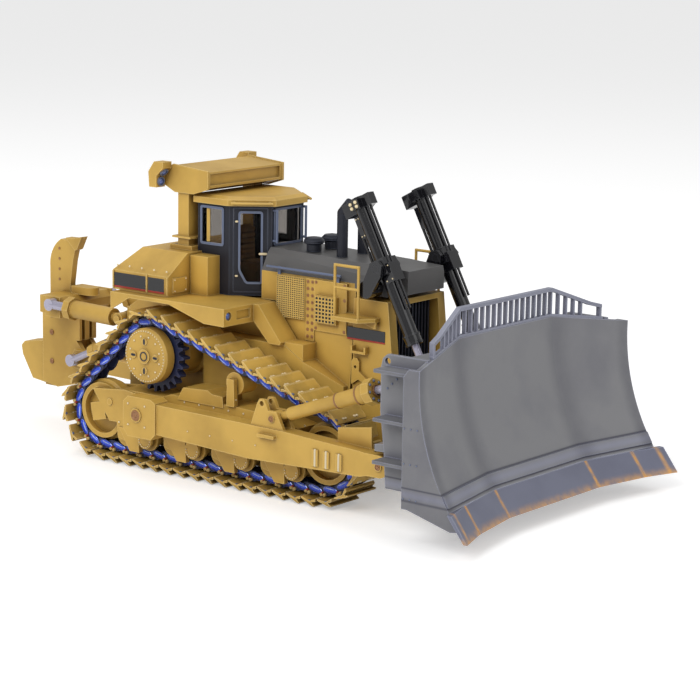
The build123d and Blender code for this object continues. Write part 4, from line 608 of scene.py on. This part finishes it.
for place in linkPlaces:
    shoes.append((shoe, place))
    shoeBolts += [(bolt, place @ shift(x, y, top + shoeBolt["seat"])) for x, y in boltPlaces]
    clips.append((clip, place @ shift(0, shoeClip["y"], top + shoeClip["seat"])))
    # on both rails a link's front lies outside the back of the one before it
    for frontY, backY in ((-rail - link["thick"], -rail + link["thick"]), (rail, rail)):
        links += [(linkFront, place @ shift(0, frontY, 0)), (linkBack, place @ shift(0, backY, 0))]
    # painted reflection: bright blue lenses on the links' inner halves, and painted highlights: pale glints
    # on them
    for found, shape, (x, out, z) in ((lenses, lens, link["lensAt"]), (glints, glint, link["glintAt"])):
        found.append((shape, place @ shift(x, -rail - out, z)))
    for x, z in link["pegsAt"]:
        pegs.append((peg, place @ shift(x, -rail - link["thick"], z) @ outward))
    x, out, z = link["dotAt"]
    dots.append((dot, place @ shift(x, -rail - out, z) @ outward))
pairPiece("trackShoes", shoes, "shoeYellow", "tractor", ("track_left", "track_right"))
for name, shapes, finish in (("trackShoeBolts", shoeBolts, "paleBolt"), ("trackClips", clips, "slateTrim"),
                             ("chainLinks", links, "sprocketNavy"), ("chainReflectionLenses", lenses, "chainBlueReflection"),
                             ("chainGlints", glints, "chainPaleHighlight"), ("chainPegs", pegs, "shoeYellow"),
                             ("chainDots", dots, "redDot")):
    pairPiece(name, shapes, finish, "tractor")
print("stage: tracks")


# Bolts and rivets on the undercarriage

hub = {"x": -25, "z": 36, "face": 35.36, "rings": ((50, 7.9, 0.0), (12, 6.3, 0.26)), "bossFace": 35.88,
       "slots": 4, "slotRing": 4.6, "slot": (-0.95, 0.95, 0.38), "cap": (1.15, 1.5, 0.14), "capFace": 35.98}
rollers = {"caps": (-25.4, -5.6, 14.2, 34.0), "z": 9.15, "face": 35.15, "bolts": 9, "ring": 2.25}
guard = {"first": -35.3, "pitch": 9.9, "count": 8, "apart": 1.5, "z": 13.2, "face": 34.55}
frameRow = {"x": range(-10, 44, 6), "z": 23.4, "face": 33.55}
carrier = {"x": 9.4, "z": 27.2, "face": 33.6, "bolts": 8, "ring": 1.6}
small = headShape(0.24, 0.3)
medium = headShape(0.34, 0.32)
fixings = []
for size, bolts in zip((small, medium), hub["rings"]):
    fixings += [(size, onSide(hub["x"] + x, hub["z"] + z, hub["face"])) for x, z in ring(*bolts)]
for x in rollers["caps"]:
    # the bolts go round the lower part of each cap
    fixings += [(small, onSide(x + dx, rollers["z"] + dz, rollers["face"]))
                for dx, dz in ring(rollers["bolts"], rollers["ring"], math.pi, math.pi * 1.1)]
fixings += [(medium, onSide(guard["pitch"] * number + guard["first"] + off, guard["z"], guard["face"]))
            for number in range(guard["count"]) for off in (-guard["apart"], guard["apart"])]
fixings += [(medium, onSide(x, frameRow["z"], frameRow["face"])) for x in frameRow["x"]]
fixings += [(small, onSide(carrier["x"] + dx, carrier["z"] + dz, carrier["face"]))
            for dx, dz in ring(carrier["bolts"], carrier["ring"])]
pairPiece("undercarriageBolts", fixings, "paleBolt", "tractor")
slot = drawnShape(roundedOutline(*hub["slot"]), 0.0, 0.12, 0.03)
slots = []
for x, z in ring(hub["slots"], hub["slotRing"]):
    outwards = Matrix.Rotation(-math.atan2(z, x), 4, "Y")
    slots.append((slot, shift(hub["x"] + x, -hub["bossFace"], hub["z"] + z) @ outwards))
slots += [(bandShape(*hub["cap"], 20), onSide(hub["x"], hub["z"], hub["capFace"]))]
pairPiece("hubSlots", slots, "cabDark", "tractor")

# Push arms: rivets stand on the faces of the pins
arm = {"trunnion": (-20.8, 19.3, 44.18), "braceFoot": (32.8, 26.2, 43.08), "bladePin": (73.0, 18.4, 43.68),
       "cornersX": (-24.2, -17.2), "cornersZ": (22.6, 16.0), "cornerFace": 43.76, "rowX": range(0, 28, 9),
       "rowZ": 17.4, "rowFace": 43.16, "tab": (28.9, 34.7, -44.55, -43.3, 20.6, 21.4),
       "ribs": (50.0, 54.1, 58.8), "rib": (-43.85, -43.1, 14.7, 20.0), "ribHalf": 0.45}
rivet = turnedShape([(0, 0.32), (0.55, 0.3), (0.7, 0.12), (1.05, 0.12), (1.2, 0.28), (1.6, 0.24),
                     (1.75, 0.0), (0, 0)], 24)
smallRivet = turnedShape([(0, 0.3), (0.35, 0.28), (0.45, 0.1), (0.65, 0.1), (0.72, 0.24), (0.92, 0.2),
                          (1.0, 0), (0, 0)], 20)
pairPiece("trunnionRivets", [(rivet, onSide(*arm["trunnion"]))], "copperRivet", "tractor")
pairPiece("armRivets", [(smallRivet, onSide(*arm["braceFoot"])), (smallRivet, onSide(*arm["bladePin"]))],
          "copperRivet", "push_frame")
armBolts = [(medium, onSide(x, z, arm["cornerFace"])) for z in arm["cornersZ"] for x in arm["cornersX"]]
armBolts += [(small, onSide(x, arm["rowZ"], arm["rowFace"])) for x in arm["rowX"]]
pairPiece("armBolts", armBolts, "paleBolt", "push_frame")
armTrim = [(boxShape(*arm["tab"], 0.2), here)]
armTrim += [(boxShape(x - arm["ribHalf"], x + arm["ribHalf"], *arm["rib"], 0.25), here) for x in arm["ribs"]]
pairPiece("armTrim", armTrim, "paleTrim", "push_frame")

brace = {"foot": (32.8, -40.0, 26.2), "along": (0.938783, 0.344508), "headFace": 38.65, "boltRing": 2.9,
         "bolts": 8, "rings": ((24.8, 2.15), (33.1, 2.7), (39.3, 1.4)), "ringWall": 0.3, "ringHeight": 0.5}


def alongBrace(distance, radius, angle):
    # a shape's own Z points forward along the brace
    alongX, alongZ = brace["along"]
    aim = shift(*brace["foot"]) @ Matrix.Rotation(math.pi / 2 - math.atan2(alongZ, alongX), 4, "Y")
    return aim @ shift(radius * math.cos(angle), radius * math.sin(angle), distance)


braceBolts = [(headShape(0.42, 0.5), alongBrace(brace["headFace"], brace["boltRing"],
                                                math.tau * number / brace["bolts"]))
              for number in range(brace["bolts"])]
eachSide("braceBolts", braceBolts, "slateTrim", "brace_barrel")
braceRings = [(bandShape(inner, inner + brace["ringWall"], brace["ringHeight"], 24),
               alongBrace(distance, 0, 0) @ halfTurn) for distance, inner in brace["rings"]]
eachSide("braceRings", braceRings, "copperRivet", "brace_barrel")
print("stage: undercarriage and arms")


# Panels, plates and tank on the sides

# area in X and Z, face, columns and rows of holes, metal round each hole
sheets = ({"area": (10.4, 21.4, 50.5, 63.2), "y": 14.16, "holes": (13, 20), "rim": 0.2},
          {"area": (26.7, 34.3, 50.8, 58.7), "y": 15.56, "holes": (6, 7), "rim": 0.3})
pairPiece("perforatedPanels", [(perforatedShape(sheet), here) for sheet in sheets], "bodyYellow", "tractor")


def sheetBack(sheet, margin=0.1, front=0.04, back=0.08):
    # a dark plate seen through the holes: painted shade behind them
    x0, x1, z0, z1 = sheet["area"]
    return boxShape(x0 + margin, x1 - margin, -sheet["y"] - front, -sheet["y"] + back, z0 + margin,
                    z1 - margin, 0.03)


pairPiece("panelShadows", [(sheetBack(sheet), here) for sheet in sheets], "cabDark", "tractor")
rivets = {"stripX": (22.4, 24.1), "stripFoot": 45.6, "stripPitch": 2.1, "stripCount": 9, "stripFace": 13.9,
          "boxX": (25.7, 36.7), "boxZ": (48.6, 53.4, 58.2, 62.6), "boxFace": 14.1}
stripRivet = turnedShape([(0, 0.26), (0.22, 0.24), (0.3, 0.1), (0.5, 0.08), (0.55, 0), (0, 0)], 12)
strip = [(stripRivet, onSide(x, rivets["stripFoot"] + rivets["stripPitch"] * row, rivets["stripFace"]))
         for x in rivets["stripX"] for row in range(rivets["stripCount"])]
strip += [(stripRivet, onSide(x, z, rivets["boxFace"])) for x in rivets["boxX"] for z in rivets["boxZ"]]
pairPiece("panelRivets", strip, "copperRivet", "tractor")

# Blank black plates with a red line along the foot: ends, foot, top, wall and the line's height
plates = {"sidePlate": (37.9, 52.2, 46.9, 50.7, 14.02, 0.5),
          "tankBandRear": (-41.7, -28.2, 55.5, 60.2, 31.5, 0.6),
          "tankBandFront": (-27.3, -20.6, 55.5, 60.2, 31.5, 0.6)}
for name, (x0, x1, z0, z1, y, line) in plates.items():
    outer, inner = -y - 0.12, -y + 0.05
    black = boxShape(x0, x1, outer, inner, z0 + line, z1, 0.05)
    red = boxShape(x0, x1, outer, inner, z0, z0 + line - 0.02, 0.05)
    pairPiece(f"{name}Black", [(black, here)], "glossBlack", "tractor")
    pairPiece(f"{name}Red", [(red, here)], "redDot", "tractor")
tank = {"ridges": (-42.0, -27.75, -19.2), "ridge": (-31.95, -31.3, 55.2, 60.9), "ridgeHalf": 0.3,
        "coverX": -18.5, "coverY": (23.9, 28.9), "coverZ": (56.4, 59.9), "rowFirst": -40.5, "rowPitch": 5.2,
        "rowCount": 5, "rowZ": 62.6, "rowFace": 31.2}
ridges = [(boxShape(x - tank["ridgeHalf"], x + tank["ridgeHalf"], *tank["ridge"], 0.15), here)
          for x in tank["ridges"]]
pairPiece("tankRidges", ridges, "bodyYellow", "tractor")
tankBolts = [(small, onFront(tank["coverX"], -y, z)) for y in tank["coverY"] for z in tank["coverZ"]]
tankBolts += [(medium, onSide(tank["rowFirst"] + tank["rowPitch"] * number, tank["rowZ"], tank["rowFace"]))
              for number in range(tank["rowCount"])]
pairPiece("tankBolts", tankBolts, "paleBolt", "tractor")


# Cab

door = {"middle": (-2.55, -11.75, 0), "heading": 38.9, "handle": (3.9, -0.1, 68.0), "hingeX": -4.3,
        "hingeY": -0.05, "hingeZ": (61.0, 78.0),
        "window": [(-3.8, 62.7), (-1.5, 58.5), (3.8, 58.5), (3.8, 81.2), (-3.8, 81.2)]}
doorWall = shift(*door["middle"]) @ Matrix.Rotation(math.radians(door["heading"]), 4, "Z")
# outlines in X and Z; the X of an end window's runs across the machine
windows = {"side": rectangle(-19.5, -9.8, 69.9, 82.1), "front": rectangle(-6.8, 6.8, 70.4, 82.0),
           "rear": rectangle(-11.6, 11.6, 68.0, 82.0), "frontX": 2.6, "rearX": -20.6, "sideWidth": 0.75,
           "width": 0.65, "bar": (-17.2, -15.8, -15.85, -15.35, 70.7, 81.3)}
trims = [(trimShape(windows["side"], -16.15, -15.85, windows["sideWidth"]), here),
         (trimShape(door["window"], -0.35, 0.0, windows["width"]), doorWall)]
pairPiece("windowTrims", trims, "slateTrim", "tractor")
endTrims = [(trimShape(windows[end], -0.3, 0.05, windows["width"]),
             shift(windows[f"{end}X"], 0, 0) @ Matrix.Rotation(turn, 4, "Z"))
            for end, turn in (("front", math.pi / 2), ("rear", -math.pi / 2))]
finishPiece("endWindowTrims", gather(endTrims), "slateTrim", "tractor")
pairPiece("windowBars", [(boxShape(*windows["bar"], 0.2), here)], "bodyYellow", "tractor")
handles = [(drawnShape(roundedOutline(-1.4, 1.4, 0.35), -0.6, 0.0, 0.12), doorWall @ shift(*door["handle"]))]
hinge = drawnShape(roundedOutline(-0.5, 0.5, 0.3), -0.5, 0.0, 0.1)
handles += [(hinge, doorWall @ shift(door["hingeX"], door["hingeY"], z)) for z in door["hingeZ"]]
pairPiece("doorHandles", handles, "paleBolt", "tractor")
seat = {"half": 3.2, "pitch": 1.75, "backRibs": 6, "backX": (-14.3, -13.15), "backZ": (63.9, 65.1),
        "baseRibs": 4, "baseX": (-13.6, -12.2), "baseZ": (63.2, 63.9)}
across = (-seat["half"], seat["half"])
seatRibs = []
for step in [seat["pitch"] * number for number in range(seat["backRibs"])]:
    foot, head = seat["backZ"]
    seatRibs.append((boxShape(*seat["backX"], *across, foot + step, head + step, 0.4), here))
for step in [seat["pitch"] * number for number in range(seat["baseRibs"])]:
    rear, fore = seat["baseX"]
    seatRibs.append((boxShape(rear + step, fore + step, *across, *seat["baseZ"], 0.3), here))
finishPiece("seatRibs", gather(seatRibs), "seatBrown", "tractor")

lamps = {"roof": ((-31.05, -20.35, 91.65, -42), (-32.42, -20.35, 88.6, 0)), "fender": (6.82, -33.3, 52.3)}
lampLens = turnedShape([(0, 0.55), (0.6, 0.48), (1.0, 0.25), (1.15, 0.0), (0, 0)], 20)
lampRim = turnedShape([(1.1, 0), (1.1, 0.5), (1.45, 0.5), (1.5, 0.0), (1.1, 0)], 20)
for name, shape, finish in (("roofLampLenses", lampLens, "lampBlue"), ("roofLampRims", lampRim, "slateTrim")):
    pairPiece(name, [(shape, onFront(*place)) for place in lamps["roof"]], finish, "tractor")
pairPiece("fenderLampLenses", [(lampLens, onFront(*lamps["fender"]))], "lampBlue", "tractor")
print("stage: cab, panels and lamps")


# Blade lift cylinders and blade

lift = {"y": -14.7, "yoke": (52.2, 70.2), "along": (0.471017, -0.882124), "rings": (21.5, 24.0),
        "band": (2.1, 2.75, 0.5)}


def onLift(x, y, z):
    # the cylinder's own frame: X rearward across it, Z down along it
    alongX, alongZ = lift["along"]
    yokeX, yokeZ = lift["yoke"]
    return Matrix(((alongZ, 0, alongX, yokeX + x * alongZ + z * alongX), (0, 1, 0, lift["y"] + y),
                   (-alongX, 0, alongZ, yokeZ - x * alongX + z * alongZ), (0, 0, 0, 1)))


# each group: head, its Y from the cylinder, and its corners across and along the cylinder
liftGroups = ((headShape(0.55, 0.6, 8), -3.35, (-1.0, 1.0), (-20.7, -19.4)),
              (small, -1.15, (1.8, 2.8), (-16.4, -11.0)), (small, -2.35, (-3.0, -0.8), (0.3, 4.5)))
liftBolts = [(head, onLift(x, y, z) @ outward)
             for head, y, across, down in liftGroups for z in down for x in across]
eachSide("liftBolts", liftBolts, "paleBolt", "lift_barrel")
liftRings = [(bandShape(*lift["band"], 24), onLift(0, 0, z)) for z in lift["rings"]]
eachSide("liftRings", liftRings, "glossBlack", "lift_barrel")

blade = {"each": 3, "endX": 89.6, "endPitch": 2.2, "endZ": (14.0, 24.0, 34.0), "endFace": 53.35,
         "topX": 78.0, "topPitch": 1.6, "topZ": 42.5, "topRise": 1.5, "topFace": 46.15}
bladeBolts = [(small, onSide(blade["endX"] + blade["endPitch"] * number, z, blade["endFace"]))
              for number in range(blade["each"]) for z in blade["endZ"]]
bladeBolts += [(medium, onSide(blade["topX"] + blade["topPitch"] * number,
                               blade["topZ"] + blade["topRise"] * number, blade["topFace"]))
               for number in range(blade["each"])]
pairPiece("bladeBolts", bladeBolts, "slateTrim", "dozer_blade")
print("stage: lift cylinders and blade")


# Ripper

ripper = {"pinX": -97.6, "pins": (20.0, 30.0, 36.0), "carrierFace": 3.98, "shankX": -96.5,
          "studs": (58.5, 55.0, 51.5, 48.0), "shankFace": 1.19}
pin = headShape(0.9, 0.5, 10)
stud = headShape(0.45, 0.25, 8)
pins = [(pin, flip @ onSide(ripper["pinX"], z, ripper["carrierFace"])) for flip in (here, otherSide)
        for z in ripper["pins"]]
pins += [(stud, flip @ onSide(ripper["shankX"], z, ripper["shankFace"])) for z in ripper["studs"]
         for flip in (here, otherSide)]
finishPiece("ripperPins", gather(pins), "copperRivet", "ripper_tool")
print("stage: ripper")
